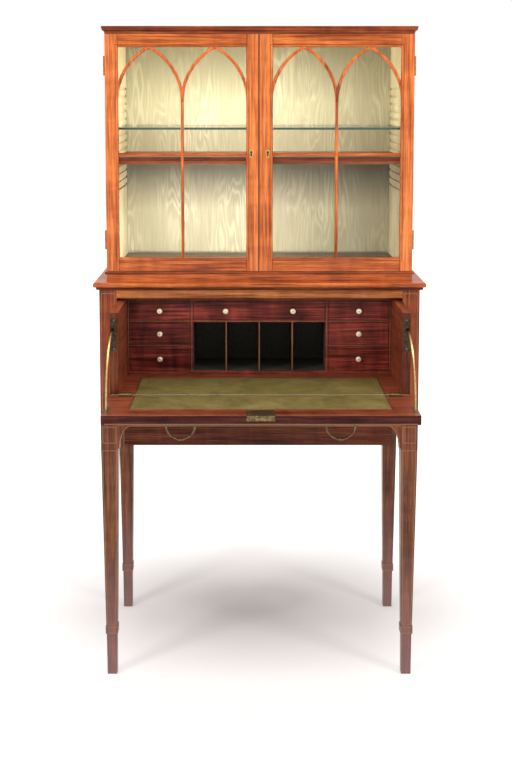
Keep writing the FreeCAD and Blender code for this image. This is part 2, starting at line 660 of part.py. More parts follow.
def unit_boards():
    boards = [box(-UNIT_HALF, UNIT_HALF, UNIT_FRONT, UNIT_END, WRITING_HEIGHT, UNIT_LOW),
              box(-UNIT_HALF, UNIT_HALF, UNIT_FRONT, UNIT_END, UNIT_HIGH, UNIT_HIGH + UNIT_TOP),
              box(-STACK_OUTER, STACK_OUTER, CELL_END, UNIT_END, UNIT_LOW, UNIT_HIGH)]
    boards += pair(box(-UNIT_HALF, -STACK_OUTER, UNIT_FRONT, UNIT_END, UNIT_LOW, UNIT_HIGH))
    boards += pair(box(-STACK_INNER, -CENTRE_HALF, UNIT_FRONT, CELL_END, UNIT_LOW, UNIT_HIGH))
    z = UNIT_LOW
    for height in ROW_HEIGHTS[:-1]:
        z += height
        boards += pair(box(-STACK_OUTER, -STACK_INNER, UNIT_FRONT, CELL_END, z, z + UNIT_RAIL))
        z += UNIT_RAIL
    boards.append(box(-CENTRE_HALF, CENTRE_HALF, UNIT_FRONT, CELL_END, TOP_ROW_LOW - UNIT_RAIL, TOP_ROW_LOW))
    return boards


def pigeon_dividers():
    dividers = []
    for number in range(1, PIGEONHOLES):
        x = -CENTRE_HALF + CENTRE_OPENING * number / PIGEONHOLES
        dividers.append(box(x - PIGEON_DIVIDER / 2, x + PIGEON_DIVIDER / 2, UNIT_FRONT, CELL_END,
                            UNIT_LOW, TOP_ROW_LOW - UNIT_RAIL))
    return dividers


def small_drawer(x0, x1, z0, z1):
    """Five boards: a thick front, two sides, a back and a bottom between them."""
    left, right = x0 + BOX_GAP, x1 - BOX_GAP
    top = z1 - BOX_GAP
    end = CELL_END - BOX_GAP * 2
    inside = UNIT_FRONT + BOX_FRONT
    front = box(left, right, UNIT_FRONT, inside, z0, top)
    front = ease(front, lambda p, e: p.y < UNIT_FRONT + 0.1)
    walls = [box(left, left + BOX_WALL, inside, end, z0, top - BOX_WALL),
             box(right - BOX_WALL, right, inside, end, z0, top - BOX_WALL),
             box(left + BOX_WALL, right - BOX_WALL, end - BOX_WALL, end, z0, top - BOX_WALL),
             box(left + BOX_WALL, right - BOX_WALL, inside, end - BOX_WALL, z0, z0 + BOX_BOTTOM)]
    return [front] + walls


def knob(x, z):
    """A turned knob: a round head on a waisted stem that meets the drawer front."""
    r = KNOB_RADIUS
    outline = [(0, 0), (r * 0.62, 0), (r * 0.62, 1.5), (r * 0.4, 3.5), (r * 0.42, 6.0), (r * 0.85, 7.5),
               (r, 9.5), (r * 0.85, 12.0), (r * 0.4, KNOB_LENGTH), (0, KNOB_LENGTH)]
    face = Part.Face(polygon([V(x + radius, UNIT_FRONT - along, z) for radius, along in outline]))
    return face.revolve(V(x, UNIT_FRONT, z), V(0, 1, 0), 360)


save("pigeonhole_unit", unit_boards())
save("pigeonhole_dividers", pigeon_dividers())
row_names = ("lower", "middle", "upper")
row_low = UNIT_LOW
for row_name, height in zip(row_names, ROW_HEIGHTS):
    stack_middle = (STACK_INNER + STACK_OUTER) / 2
    knob_z = row_low + height / 2
    for side_name, sign in (("left", -1), ("right", 1)):
        x0, x1 = sorted((sign * STACK_INNER, sign * STACK_OUTER))
        save(side_name + "_" + row_name + "_drawer", small_drawer(x0, x1, row_low, row_low + height))
        save(side_name + "_" + row_name + "_knob", [knob(sign * stack_middle, knob_z)])
    row_low += height + UNIT_RAIL
save("centre_drawer", small_drawer(-CENTRE_HALF, CENTRE_HALF, TOP_ROW_LOW, UNIT_HIGH))
centre_z = (TOP_ROW_LOW + UNIT_HIGH) / 2
save("centre_knobs", [knob(-CENTRE_KNOB_X, centre_z), knob(CENTRE_KNOB_X, centre_z)])


# The bookcase carcase

book_side = box(-BOOK_HALF, -BOOK_INNER, BOOK_FRONT, BOOK_REAR, DESK_TOP, BOOK_TOP)
for hinge_height in DOOR_HINGE_HEIGHTS:
    leaf_half = DOOR_KNUCKLE * 1.5
    leaf_seat = box(-BOOK_HALF, -BOOK_HALF + DOOR_LEAF, BOOK_FRONT, BOOK_FRONT + DOOR_LEAF_THICK,
                    hinge_height - leaf_half, hinge_height + leaf_half)
    book_side = book_side.cut(leaf_seat)
save("bookcase_sides", pair(book_side))
book_floor = box(-BOOK_INNER, BOOK_INNER, BOOK_FRONT, BOOK_BACK_FRONT, BOOK_FLOOR - BOARD_THICK, BOOK_FLOOR)
book_ceiling = box(-BOOK_INNER, BOOK_INNER, BOOK_FRONT, BOOK_BACK_FRONT, BOOK_TOP - BOARD_THICK, BOOK_TOP)
save("bookcase_boards", [book_floor, book_ceiling])
save("bookcase_back", [box(-BOOK_INNER, BOOK_INNER, BOOK_BACK_FRONT, BOOK_REAR, DESK_TOP, BOOK_TOP)])
CEILING = BOOK_TOP - BOARD_THICK
save("silk_lining", [box(-BOOK_INNER, BOOK_INNER, SILK_FRONT, BOOK_BACK_FRONT, BOOK_FLOOR, CEILING)])


def slot_low(number):
    return DESK_TOP + SLOT_FIRST_RISE + SLOT_PITCH * number


def side_lining():
    board = box(-BOOK_INNER, -LINING_INNER, BOOK_FRONT, SILK_FRONT, BOOK_FLOOR, CEILING)
    for number in range(SLOT_COUNT):
        z = slot_low(number)
        slot = box(-LINING_INNER - SLOT_DEPTH, -LINING_INNER, BOOK_FRONT, SILK_FRONT, z, z + SLOT_HEIGHT)
        board = board.cut(slot)
    return board


save("side_linings", pair(side_lining()))
shelf_half = LINING_INNER - FIT_GAP
tongue_half = LINING_INNER + SLOT_DEPTH - FIT_GAP
shelf_front = BOOK_FRONT + SHELF_FRONT_GAP
wood_low = slot_low(WOOD_SHELF_SLOT)
tongue = box(-tongue_half, tongue_half, shelf_front, SILK_FRONT, wood_low, wood_low + GLASS_SHELF_THICK)
shelf_low = wood_low - (WOOD_SHELF_THICK - GLASS_SHELF_THICK) / 2
wood_body = box(-shelf_half, shelf_half, shelf_front, SILK_FRONT, shelf_low, shelf_low + WOOD_SHELF_THICK)
wood_body = ease(wood_body, lambda p, e: p.y < shelf_front + 0.1 and e.Length > WOOD_SHELF_THICK + 1)
save("wood_shelf", [wood_body.fuse(tongue)])
glass_low = slot_low(GLASS_SHELF_SLOT)
glass_high = glass_low + GLASS_SHELF_THICK
save("glass_shelf", [box(-tongue_half, tongue_half, shelf_front, SILK_FRONT, glass_low, glass_high)])


def base_parts():
    """The plinth board under the doors, and a bead that runs round three sides."""
    z0 = DESK_TOP + PLINTH_HEIGHT
    z1 = z0 + BASE_MOULDING
    board = box(-BOOK_HALF, BOOK_HALF, DOOR_FRONT, BOOK_FRONT, DESK_TOP, z0)
    outer_half = BOOK_HALF + BASE_OVERHANG
    front = box(-outer_half, outer_half, DOOR_FRONT - BASE_OVERHANG, BOOK_FRONT, z0, z1)
    middle = (z0 + z1) / 2
    nose = edges_where(front, lambda p, e: p.y < BOOK_FRONT - 1 and abs(p.z - middle) > 1)
    front = front.makeFillet(BASE_MOULDING * 0.45, nose)
    side = box(-outer_half, -BOOK_HALF, BOOK_FRONT, BOOK_REAR, z0, z1)
    outer = edges_where(side, lambda p, e: p.x < -outer_half + 0.1 and abs(p.z - middle) > 1)
    side = side.makeFillet(BASE_MOULDING * 0.45, outer)
    return [board, front] + pair(side)


save("plinth", base_parts())


def cornice_cap():
    """A moulded cap: a square fillet over a hollow that slopes back to the doors."""
    half = BOOK_HALF + CORNICE_OVERHANG
    front = DOOR_FRONT - CORNICE_OVERHANG
    top = BOOK_TOP + CORNICE_HEIGHT
    shoulder = top - CORNICE_FILLET
    fillet = box(-half, half, front, BOOK_REAR, shoulder, top)
    fillet = ease(fillet, lambda p, e: p.y < BOOK_REAR - 1 and abs(p.z - (shoulder + top) / 2) > 1)
    lower = box(-half + 1.5, half - 1.5, front + 1.5, BOOK_REAR, BOOK_TOP, shoulder)
    cove_start = V(-CASE_WIDTH, front + 1.5, BOOK_TOP + 2)
    cove = cylinder(CORNICE_OVERHANG - 1.5, CASE_WIDTH * 2, cove_start, V(1, 0, 0))
    lower = lower.cut(cove)
    for sign in (-1, 1):
        start = V(sign * (half - 1.5), FRONT - CASE_DEPTH, BOOK_TOP + 2)
        lower = lower.cut(cylinder(CORNICE_OVERHANG - 1.5, CASE_DEPTH * 3, start, V(0, 1, 0)))
    trim = box(-BOOK_HALF, BOOK_HALF, DOOR_FRONT, BOOK_REAR, BOOK_TOP, BOOK_TOP + 2)
    band = box(-half, half, front, BOOK_REAR, BOOK_TOP, BOOK_TOP + 2)
    return fillet.fuse(lower.cut(band.cut(trim))).removeSplitter()


save("cornice", [cornice_cap()])


# The glazed doors. The left one is drawn, and the right one is its mirror image.

DOOR_OUTER = -BOOK_HALF
DOOR_MEET = -MEETING_GAP / 2
SIGHT_LEFT = DOOR_OUTER + DOOR_STILE
SIGHT_RIGHT = DOOR_MEET - DOOR_STILE
SIGHT_LOW = DOOR_BOTTOM_Z + DOOR_BOTTOM_RAIL
SIGHT_HIGH = DOOR_TOP_Z - DOOR_TOP_RAIL
SIGHT_MIDDLE = (SIGHT_LEFT + SIGHT_RIGHT) / 2
BAR_BACK = DOOR_FRONT + BAR_DEPTH
GLASS_FRONT = BAR_BACK + FIT_GAP
GLASS_BACK = GLASS_FRONT + GLASS_THICK
DOOR_AXIS_X = DOOR_OUTER - DOOR_KNUCKLE_RADIUS - FIT_GAP
DOOR_AXIS_Y = DOOR_BACK + DOOR_GAP / 2
LOCK_X = DOOR_MEET - DOOR_STILE * ESCUTCHEON_PLACE
LOCK_Z = CROSS_BAR_Z + 2.0


def rebate():
    """The step behind the frame's inner edge that the glass lies in."""
    return box(SIGHT_LEFT - GLASS_LAP, SIGHT_RIGHT + GLASS_LAP, BAR_BACK, DOOR_BACK,
               SIGHT_LOW - GLASS_LAP, SIGHT_HIGH + GLASS_LAP)


def eased_stick(stick, test):
    """Round the two front edges of a frame member that face the glass and the room."""
    front_edges = edges_where(stick, lambda p, e: p.y < DOOR_FRONT + 0.1 and test(p))
    return stick.makeFillet(3.0, front_edges)


def door_frame():
    outer = box(DOOR_OUTER, SIGHT_LEFT, DOOR_FRONT, DOOR_BACK, DOOR_BOTTOM_Z, DOOR_TOP_Z)
    outer = eased_stick(outer, lambda p: p.x > SIGHT_LEFT - 0.1)
    outer = ease(outer, lambda p, e: p.y < DOOR_FRONT + 0.1 and p.x < DOOR_OUTER + 0.1)
    inner = box(SIGHT_RIGHT, DOOR_MEET, DOOR_FRONT, DOOR_BACK, DOOR_BOTTOM_Z, DOOR_TOP_Z)
    inner = eased_stick(inner, lambda p: p.x < SIGHT_RIGHT + 0.1)
    low = box(SIGHT_LEFT, SIGHT_RIGHT, DOOR_FRONT, DOOR_BACK, DOOR_BOTTOM_Z, SIGHT_LOW)
    low = eased_stick(low, lambda p: p.z > SIGHT_LOW - 0.1)
    high = box(SIGHT_LEFT, SIGHT_RIGHT, DOOR_FRONT, DOOR_BACK, SIGHT_HIGH, DOOR_TOP_Z)
    high = eased_stick(high, lambda p: p.z < SIGHT_HIGH + 0.1)
    inner = inner.cut(door_escutcheon_blank()).cut(door_lock_case()).cut(key_way())
    sticks = []
    for stick in (outer, inner, low, high):
        stick = stick.cut(rebate())
        for height in DOOR_HINGE_HEIGHTS:
            stick = stick.cut(door_leaf(height, -1, 0))
        sticks.append(stick)
    return sticks


def arch_centres(left, right):
    """The two circle centres of one pointed arch over an opening."""
    rise = math.sqrt(ARCH_RADIUS ** 2 - (ARCH_RADIUS - (right - left) / 2) ** 2)
    spring = SIGHT_HIGH - rise
    return (V(left + ARCH_RADIUS, 0, spring), V(right - ARCH_RADIUS, 0, spring))


def arch_ring(centre, width, y0, y1):
    a = cylinder(ARCH_RADIUS + width / 2, y1 - y0, V(centre.x, y0, centre.z), V(0, 1, 0))
    b = cylinder(ARCH_RADIUS - width / 2, y1 - y0, V(centre.x, y0, centre.z), V(0, 1, 0))
    return a.cut(b)


# An arch springs from half a bar inside the stile, so that it grows out of the frame's edge.
ARCH_START = max(ARCH_BAR_WIDTH / 2, GLASS_LAP)
LIGHTS = ((SIGHT_LEFT - ARCH_START, SIGHT_MIDDLE), (SIGHT_MIDDLE, SIGHT_RIGHT + ARCH_START))


def bar_lattice(bar_width, arch_width, y0, y1, lap):
    """The upright, the cross bar and four arch bars, as solids that meet edge to edge."""
    half = bar_width / 2
    edge_left, edge_right = SIGHT_LEFT - lap, SIGHT_RIGHT + lap
    upright = box(SIGHT_MIDDLE - half, SIGHT_MIDDLE + half, y0, y1, SIGHT_LOW, SIGHT_HIGH)
    cross = box(SIGHT_LEFT, SIGHT_RIGHT, y0, y1, CROSS_BAR_Z - half, CROSS_BAR_Z + half)
    arches = []
    for left, right in LIGHTS:
        first, second = arch_centres(left, right)
        middle = (left + right) / 2
        for centre, x0, x1 in ((first, left, middle), (second, middle, right)):
            keep = box(max(x0, edge_left), min(x1, edge_right), y0, y1, first.z, SIGHT_HIGH)
            arches.append(arch_ring(centre, arch_width, y0, y1).common(keep))
    spring = arch_centres(*LIGHTS[0])[0].z
    upright = upright.common(box(SIGHT_LEFT, SIGHT_RIGHT, y0, y1, SIGHT_LOW, spring + ARCH_FOOT))
    return upright, cross, arches


def glazing_bars():
    upright, cross, arches = bar_lattice(BAR_WIDTH, ARCH_BAR_WIDTH, DOOR_FRONT + 1.0, BAR_BACK, 0)
    return upright.fuse([cross] + arches).removeSplitter().Solids


def glass_panes():
    """Separate panes: the whole sheet cut along the middle of every bar."""
    inside = GLASS_LAP - FIT_GAP
    sheet = box(SIGHT_LEFT - inside, SIGHT_RIGHT + inside, GLASS_FRONT, GLASS_BACK,
                SIGHT_LOW - inside, SIGHT_HIGH + inside)
    upright, cross, arches = bar_lattice(BAR_TONGUE, BAR_TONGUE, GLASS_FRONT, GLASS_BACK, GLASS_LAP)
    wide_cross = box(SIGHT_LEFT - GLASS_LAP, SIGHT_RIGHT + GLASS_LAP, GLASS_FRONT, GLASS_BACK,
                     CROSS_BAR_Z - BAR_TONGUE / 2, CROSS_BAR_Z + BAR_TONGUE / 2)
    long_upright = box(SIGHT_MIDDLE - BAR_TONGUE / 2, SIGHT_MIDDLE + BAR_TONGUE / 2, GLASS_FRONT, GLASS_BACK,
                       SIGHT_LOW - GLASS_LAP, CROSS_BAR_Z)
    panes = sheet.cut(upright).cut(wide_cross).cut(long_upright)
    for arch in arches:
        panes = panes.cut(arch)
    for left, right in LIGHTS:
        middle = (left + right) / 2
        panes = panes.cut(box(middle - BAR_TONGUE * 2, middle + BAR_TONGUE * 2, GLASS_FRONT, GLASS_BACK,
                              SIGHT_HIGH - BAR_TONGUE, SIGHT_HIGH + GLASS_LAP))
    return [pane for pane in panes.Solids if pane.Volume > 500]


def door_escutcheon_blank():
    depth = DOOR_FRONT + ESCUTCHEON_DEPTH
    return keyhole_prism(LOCK_X, LOCK_Z, ESCUTCHEON_WIDTH, ESCUTCHEON_HEIGHT, DOOR_FRONT, depth)


def key_way():
    width = ESCUTCHEON_WIDTH * 0.6
    height = ESCUTCHEON_HEIGHT * 0.72
    return keyhole_prism(LOCK_X, LOCK_Z, width, height, DOOR_FRONT, DOOR_BACK)


def door_lock_case():
    return box(DOOR_MEET - DOOR_LOCK_WIDTH, DOOR_MEET, DOOR_BACK - DOOR_LOCK_DEPTH, DOOR_BACK,
               LOCK_Z - DOOR_LOCK_HEIGHT / 2, LOCK_Z + DOOR_LOCK_HEIGHT / 2)


def door_lock():
    return [door_escutcheon_blank().cut(key_way()), door_lock_case()]


def door_knuckle(z0, z1, radius):
    return cylinder(radius, z1 - z0, V(DOOR_AXIS_X, DOOR_AXIS_Y, z0), V(0, 0, 1))


def door_leaf(height, side, gap):
    """One leaf let into the door's back (side -1) or the carcase's front edge (side +1)."""
    half = DOOR_KNUCKLE * 1.5 + gap
    if side < 0:
        y0, y1 = DOOR_BACK - DOOR_LEAF_THICK, DOOR_BACK
    else:
        y0, y1 = BOOK_FRONT, BOOK_FRONT + DOOR_LEAF_THICK
    return box(DOOR_OUTER, DOOR_OUTER + DOOR_LEAF, y0, y1, height - half, height + half)


def hinge_half(height, side, spans, bored):
    """A leaf with its knuckles, spans being the stretches of barrel it owns."""
    shape = door_leaf(height, side, 0)
    parts = []
    if side < 0:
        y0, y1 = DOOR_BACK - DOOR_LEAF_THICK, DOOR_BACK
    else:
        y0, y1 = BOOK_FRONT, BOOK_FRONT + DOOR_LEAF_THICK
    for a, b in spans:
        parts.append(door_knuckle(height + a, height + b, DOOR_KNUCKLE_RADIUS))
        parts.append(box(DOOR_AXIS_X, DOOR_OUTER, y0, y1, height + a, height + b))
    shape = shape.fuse(parts)
    if bored:
        k = DOOR_KNUCKLE * 1.5
        shape = shape.cut(door_knuckle(height - k, height + k, HINGE_PIN + PIN_GAP))
    else:
        k = DOOR_KNUCKLE * 1.5
        shape = shape.fuse(door_knuckle(height - k, height + k, HINGE_PIN))
    return shape


k = DOOR_KNUCKLE
door_leaves = []
case_leaves = []
for hinge_height in DOOR_HINGE_HEIGHTS:
    door_leaves.append(hinge_half(hinge_height, -1, [(-k / 2, k / 2)], True))
    outer_spans = [(-k * 1.5, -k / 2 - JOINT_GAP), (k / 2 + JOINT_GAP, k * 1.5)]
    case_leaves.append(hinge_half(hinge_height, 1, outer_spans, False))

left_frame = door_frame()
left_bars = glazing_bars()
left_panes = glass_panes()
left_lock = door_lock()
save("left_door_frame", left_frame)
save("left_glazing_bars", left_bars)
save("left_panes", left_panes)
save("left_door_lock", left_lock)
save("left_door_hinges", door_leaves)
save("right_door_frame", [flip(s) for s in left_frame])
save("right_glazing_bars", [flip(s) for s in left_bars])
save("right_panes", [flip(s) for s in left_panes])
save("right_door_lock", [flip(s) for s in left_lock])
save("right_door_hinges", [flip(s) for s in door_leaves])
save("case_hinge_leaves", case_leaves + [flip(s) for s in case_leaves])
bead = box(-DOOR_MEET, -DOOR_MEET + MEETING_BEAD, DOOR_FRONT - BEAD_PROUD, DOOR_FRONT,
           DOOR_BOTTOM_Z, DOOR_TOP_Z)
bead_front = edges_where(bead, lambda p, e: p.y < DOOR_FRONT - BEAD_PROUD + 0.1 and e.Length > 100)
save("meeting_bead", [bead.makeFillet(BEAD_PROUD * 0.9, bead_front)])
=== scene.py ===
# %% [markdown]
# # A secretary bookcase: looks around a fixed frame
#
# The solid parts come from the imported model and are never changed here. This lesson gives each part
# a procedural material, lays the leather and the silk as sheets, and adds the small things that a
# joiner would add last: pale inlaid lines, screws and rounded beads on the glazing bars.
#
# Everything is in metres. The front faces -Y, and every new piece is built where it belongs, so its
# object stays at the origin and its material can read plain object coordinates.

# %% Load the frame
import math
import random

import bmesh
import bpy
from mathutils import Matrix, Vector


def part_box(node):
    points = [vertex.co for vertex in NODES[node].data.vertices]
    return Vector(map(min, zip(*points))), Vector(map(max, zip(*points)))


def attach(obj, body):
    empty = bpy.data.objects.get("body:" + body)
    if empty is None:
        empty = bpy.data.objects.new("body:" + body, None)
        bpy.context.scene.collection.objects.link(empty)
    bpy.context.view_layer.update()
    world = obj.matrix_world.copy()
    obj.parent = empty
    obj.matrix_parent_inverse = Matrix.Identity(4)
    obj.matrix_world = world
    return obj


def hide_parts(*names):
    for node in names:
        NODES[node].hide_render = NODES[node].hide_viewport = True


random.seed(7)
bpy.ops.wm.read_factory_settings(use_empty=True)
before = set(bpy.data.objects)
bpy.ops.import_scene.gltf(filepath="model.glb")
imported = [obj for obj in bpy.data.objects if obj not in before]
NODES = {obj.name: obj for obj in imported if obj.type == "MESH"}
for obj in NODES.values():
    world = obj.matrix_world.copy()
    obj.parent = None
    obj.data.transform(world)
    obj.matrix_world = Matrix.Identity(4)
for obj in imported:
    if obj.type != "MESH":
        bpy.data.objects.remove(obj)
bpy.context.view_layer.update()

# %% Units, directions and names
MM = 0.001
TO_FRONT, TO_BACK, UP, DOWN = (0, -1, 0), (0, 1, 0), (0, 0, 1), (0, 0, -1)
SIDES = (("left", -1), ("right", 1))
SMALL_DRAWERS = [side + "_" + row for side, _ in SIDES for row in ("lower", "middle", "upper")] + ["centre"]


def node_box(name):
    """A part's lowest and highest corners at rest."""
    low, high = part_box(name)
    return Vector(low), Vector(high)


# %% [markdown]
# ## A small way to write materials
#
# A finish in Blender is a graph of nodes with links. Made by hand in the editor, or with a line of
# code for each node and link, the idea behind a finish is soon lost. The classes below let it be
# written as a sum of patterns instead: each method adds one node and returns its socket, so that
# it can feed the next call.

# %% A graph writer
class Graph:
    def __init__(self, name):
        self.material = bpy.data.materials.new(name)
        self.material.use_nodes = True
        self.tree = self.material.node_tree
        self.tree.nodes.clear()
        self.coords = self.add("TexCoord").outputs["Object"]

    def set(self, socket, value):
        if isinstance(value, bpy.types.NodeSocket):
            self.tree.links.new(value, socket)
        else:
            socket.default_value = value

    def add(self, kind, **inputs):
        """A new node, each named input set to a number or joined to a socket."""
        node = self.tree.nodes.new("ShaderNode" + kind)
        for label, value in inputs.items():
            self.set(node.inputs[label.replace("_", " ")], value)
        return node

    def finish(self, **inputs):
        self.add("OutputMaterial", Surface=self.add("BsdfPrincipled", **inputs).outputs[0])
        print("finish", self.material.name, len(self.tree.nodes), "nodes")
        return self.material


# %% Patterns in space
class Pattern(Graph):
    def stretch(self, scale, move=(0, 0, 0)):
        return self.add("Mapping", Vector=self.coords, Scale=scale, Location=move).outputs[0]

    def axes(self):
        return self.add("SeparateXYZ", Vector=self.coords).outputs

    def noise(self, vector, scale, detail=4.0, rough=0.55, twist=0.0):
        return self.add("TexNoise", Vector=vector, Scale=scale, Detail=detail, Roughness=rough,
                        Distortion=twist).outputs["Fac"]

    def cells(self, vector, scale):
        return self.add("TexVoronoi", Vector=vector, Scale=scale).outputs["Distance"]

    def ribs(self, vector, scale, twist, detail):
        """Level stripes, one above the other."""
        node = self.add("TexWave", Vector=vector, Scale=scale, Distortion=twist, Detail=detail,
                        Detail_Scale=1.4)
        node.bands_direction = "Z"
        return node.outputs["Fac"]


# %% Sums, colours and relief
class Finish(Pattern):
    def math(self, operation, *values):
        node = self.add("Math")
        node.operation = operation
        for socket, value in zip(node.inputs, values):
            self.set(socket, value)
        return node.outputs[0]

    def step(self, value, low, high):
        """Nought at low, one at high, and even between them."""
        return self.add("MapRange", Value=value, From_Min=low, From_Max=high).outputs["Result"]

    def ramp(self, value, *stops):
        """A colour for each value, from pairs of a position and a colour."""
        node = self.add("ValToRGB", Fac=value)
        elements = node.color_ramp.elements
        for element, (position, colour) in zip(elements, (stops[0], stops[-1])):
            element.position, element.color = position, (*colour, 1)
        for position, colour in stops[1:-1]:
            elements.new(position).color = (*colour, 1)
        return node.outputs["Color"]

    def mix(self, factor, a, b, blend="MIX"):
        node = self.add("Mix")
        node.data_type, node.blend_type = "RGBA", blend
        self.set(node.inputs["Factor"], factor)
        colours = [s for s in node.inputs if s.type == "RGBA"]
        for socket, value in zip(colours, (a, b)):
            self.set(socket, value if isinstance(value, bpy.types.NodeSocket) else (*value, 1))
        return [s for s in node.outputs if s.type == "RGBA"][0]

    def bump(self, height, strength, distance):
        return self.add("Bump", Height=height, Strength=strength, Distance=distance).outputs[0]


# %% [markdown]
# ## Mahogany
#
# The boards that show are mahogany under old wax. The hidden ones, such as drawer sides, are taken as
# oak or raw wood. A picture of wood wrapped round the boards would be quick, but it would repeat and
# couldn't follow each board's direction. So one recipe serves them all. Long streaks follow a grain
# axis, a slow figure crosses it, and short dark pores break the polish. A thin coat on top is the wax.

# %% How pale the wood is at each point
GRAIN = {"X": (0.05, 1, 1), "Y": (1, 0.05, 1), "Z": (1, 1, 0.05)}
PORES = {"X": (0.03, 1, 1), "Y": (1, 0.03, 1), "Z": (1, 1, 0.03)}
CROSS = {"X": (1, 0.25, 0.25), "Y": (0.25, 1, 0.25), "Z": (0.25, 0.25, 1)}


def grain_value(g, axis, move, flame):
    """The grain as one number, with the streaks and the figure for relief and gloss."""
    along = g.stretch(GRAIN[axis], move)
    streaks = g.noise(along, 70, 6, 0.62, 0.35)
    bands = g.noise(along, 16, 3, 0.5, 1.2)
    figure = g.noise(g.stretch(CROSS[axis], move), 26, 2, 0.5, 0.6)
    blotch = g.noise(g.coords, 3.2, 2, 0.5)
    lines = g.noise(g.stretch(PORES[axis], move), 240, 3, 0.6)
    value = g.math("MULTIPLY_ADD", streaks, 0.40, g.math("MULTIPLY", bands, 0.24))
    value = g.math("MULTIPLY_ADD", figure, flame, g.math("SUBTRACT", value, flame * 0.5 - 0.06))
    value = g.math("MULTIPLY_ADD", blotch, 0.14, value)
    value = g.math("MULTIPLY_ADD", lines, 0.50, g.math("SUBTRACT", value, 0.13))
    return value, streaks, figure


# %% [markdown]
# The legs' colour changes on their way up, and this change is painted light. The feet are tinted dull
# and pinkish, and the wood grows warmer and brighter towards the case. Painting that on by hand would need
# a texture for each leg. The height of a point says it as well, so the recipe mixes in three tints by
# height.

# %% The legs' painted light by height
FEET_TINT_HEIGHT, FEET_TINT_SHARE, FEET_TINT_COLOUR = 0.36, 0.6, (0.27, 0.160, 0.165)
PAINTED_LIGHT_STEPS = ((0.50, 0.62, (1.06, 0.84, 0.64)), (0.70, 0.78, (1.62, 1.28, 0.85)))


def leg_painted_light(g, colour):
    # Painted light: the feet take a dull pinkish tint, and the wood grows warmer and brighter towards the
    # case.
    height = g.axes()[2]
    feet_tinted = g.math("MULTIPLY", g.step(height, FEET_TINT_HEIGHT, 0.0), FEET_TINT_SHARE)
    colour = g.mix(feet_tinted, colour, FEET_TINT_COLOUR)
    for low, high, tint in PAINTED_LIGHT_STEPS:
        colour = g.mix(g.step(height, low, high), colour, tint, "MULTIPLY")
    return colour


# %% The wood recipe
TONE_STOPS = (0.44, 0.56, 0.69)
PORE_DARK, NO_TINT = (0.42, 0.36, 0.34), (1, 1, 1)


def wood(name, axis, tones, move, coat, shine, rough=0.34, flame=0.18, fade=False):
    g = Finish(name)
    value, streaks, figure = grain_value(g, axis, move, flame)
    pores = g.step(g.noise(g.stretch(PORES[axis]), 900, 2, 0.6), 0.36, 0.5)
    colour = g.ramp(value, *zip(TONE_STOPS, tones))
    colour = g.mix(0.55, colour, g.ramp(pores, (0.0, PORE_DARK), (1.0, NO_TINT)), "MULTIPLY")
    if fade:
        colour = leg_painted_light(g, colour)
    worn = g.noise(g.coords, 38, 4, 0.6)
    gloss = g.math("MULTIPLY_ADD", figure, -0.06, rough - 0.05)
    gloss = g.math("MULTIPLY_ADD", worn, 0.16, gloss)
    relief = g.math("MULTIPLY_ADD", pores, 0.7, g.math("MULTIPLY", streaks, 0.3))
    return g.finish(Base_Color=colour, Roughness=gloss, Specular_IOR_Level=shine, Coat_Weight=coat,
                    Coat_Roughness=0.14, Normal=g.bump(relief, 0.16, 0.0006))


# %% [markdown]
# The boards differ in tone: bright doors, a dark drawer unit, brown legs. The backs are left raw.
# One brown for all would be simpler but flat, so each wood below has a dark, a middle and a pale tone
# of its own. The letters are the directions its boards run in, and a random move keeps the woods from
# being cut from the same spot.

# %% Every wood of the piece
WOODS = (
    ("case", "XYZ", ((0.200, 0.036, 0.007), (0.455, 0.097, 0.017), (0.69, 0.190, 0.040)),
     dict(coat=0.07, shine=0.22)),
    ("stile", "Z", ((0.270, 0.052, 0.012), (0.575, 0.138, 0.030), (0.82, 0.245, 0.062)),
     dict(coat=0.07, shine=0.22)),
    ("dark", "XZ", ((0.036, 0.008, 0.004), (0.092, 0.022, 0.010), (0.175, 0.049, 0.021)),
     dict(coat=0.04, shine=0.08)),
    ("lower", "XZ", ((0.046, 0.011, 0.005), (0.124, 0.036, 0.013), (0.235, 0.080, 0.029)),
     dict(coat=0.07, shine=0.20, fade=True)),
    ("fall", "XY", ((0.085, 0.016, 0.007), (0.215, 0.046, 0.019), (0.355, 0.088, 0.038)),
     dict(coat=0.10, shine=0.22)),
    ("unit", "X", ((0.026, 0.003, 0.003), (0.132, 0.017, 0.012), (0.33, 0.054, 0.034)),
     dict(coat=0.03, shine=0.10, flame=0.34)),
    ("oak", "Y", ((0.22, 0.12, 0.055), (0.36, 0.21, 0.10), (0.48, 0.31, 0.16)),
     dict(coat=0.04, shine=0.20)),
    ("deep", "XY", ((0.014, 0.003, 0.002), (0.042, 0.009, 0.006), (0.088, 0.022, 0.014)),
     dict(coat=0.0, shine=0.08)),
    ("raw", "XZ", ((0.085, 0.040, 0.020), (0.17, 0.085, 0.042), (0.27, 0.145, 0.075)),
     dict(coat=0.0, shine=0.20, rough=0.72)),
    # The frieze wood is darker than the case wood as painted shade under the desk top's overhang.
    ("frieze", "X", ((0.100, 0.024, 0.006), (0.285, 0.080, 0.018), (0.50, 0.170, 0.045)),
     dict(coat=0.04, shine=0.14)),
)
FURTHEST_MOVE = 3
woods = {}
for label, axes, tones, polish in WOODS:
    for axis in axes:
        move = [random.uniform(-FURTHEST_MOVE, FURTHEST_MOVE) for _ in range(3)]
        woods[label + axis] = wood("wood_" + label + "_" + axis.lower(), axis, tones, move, **polish)

# %% [markdown]
# ## Brass and screws
#
# The fittings are brass, bright on the stays and the door locks and nearly black on the catch plates.
# A plain metal with one colour would look new. Here a noise picks the tarnish from three tones, and
# the same noise makes the brighter places smoother. The screws are darker, with grime in them.

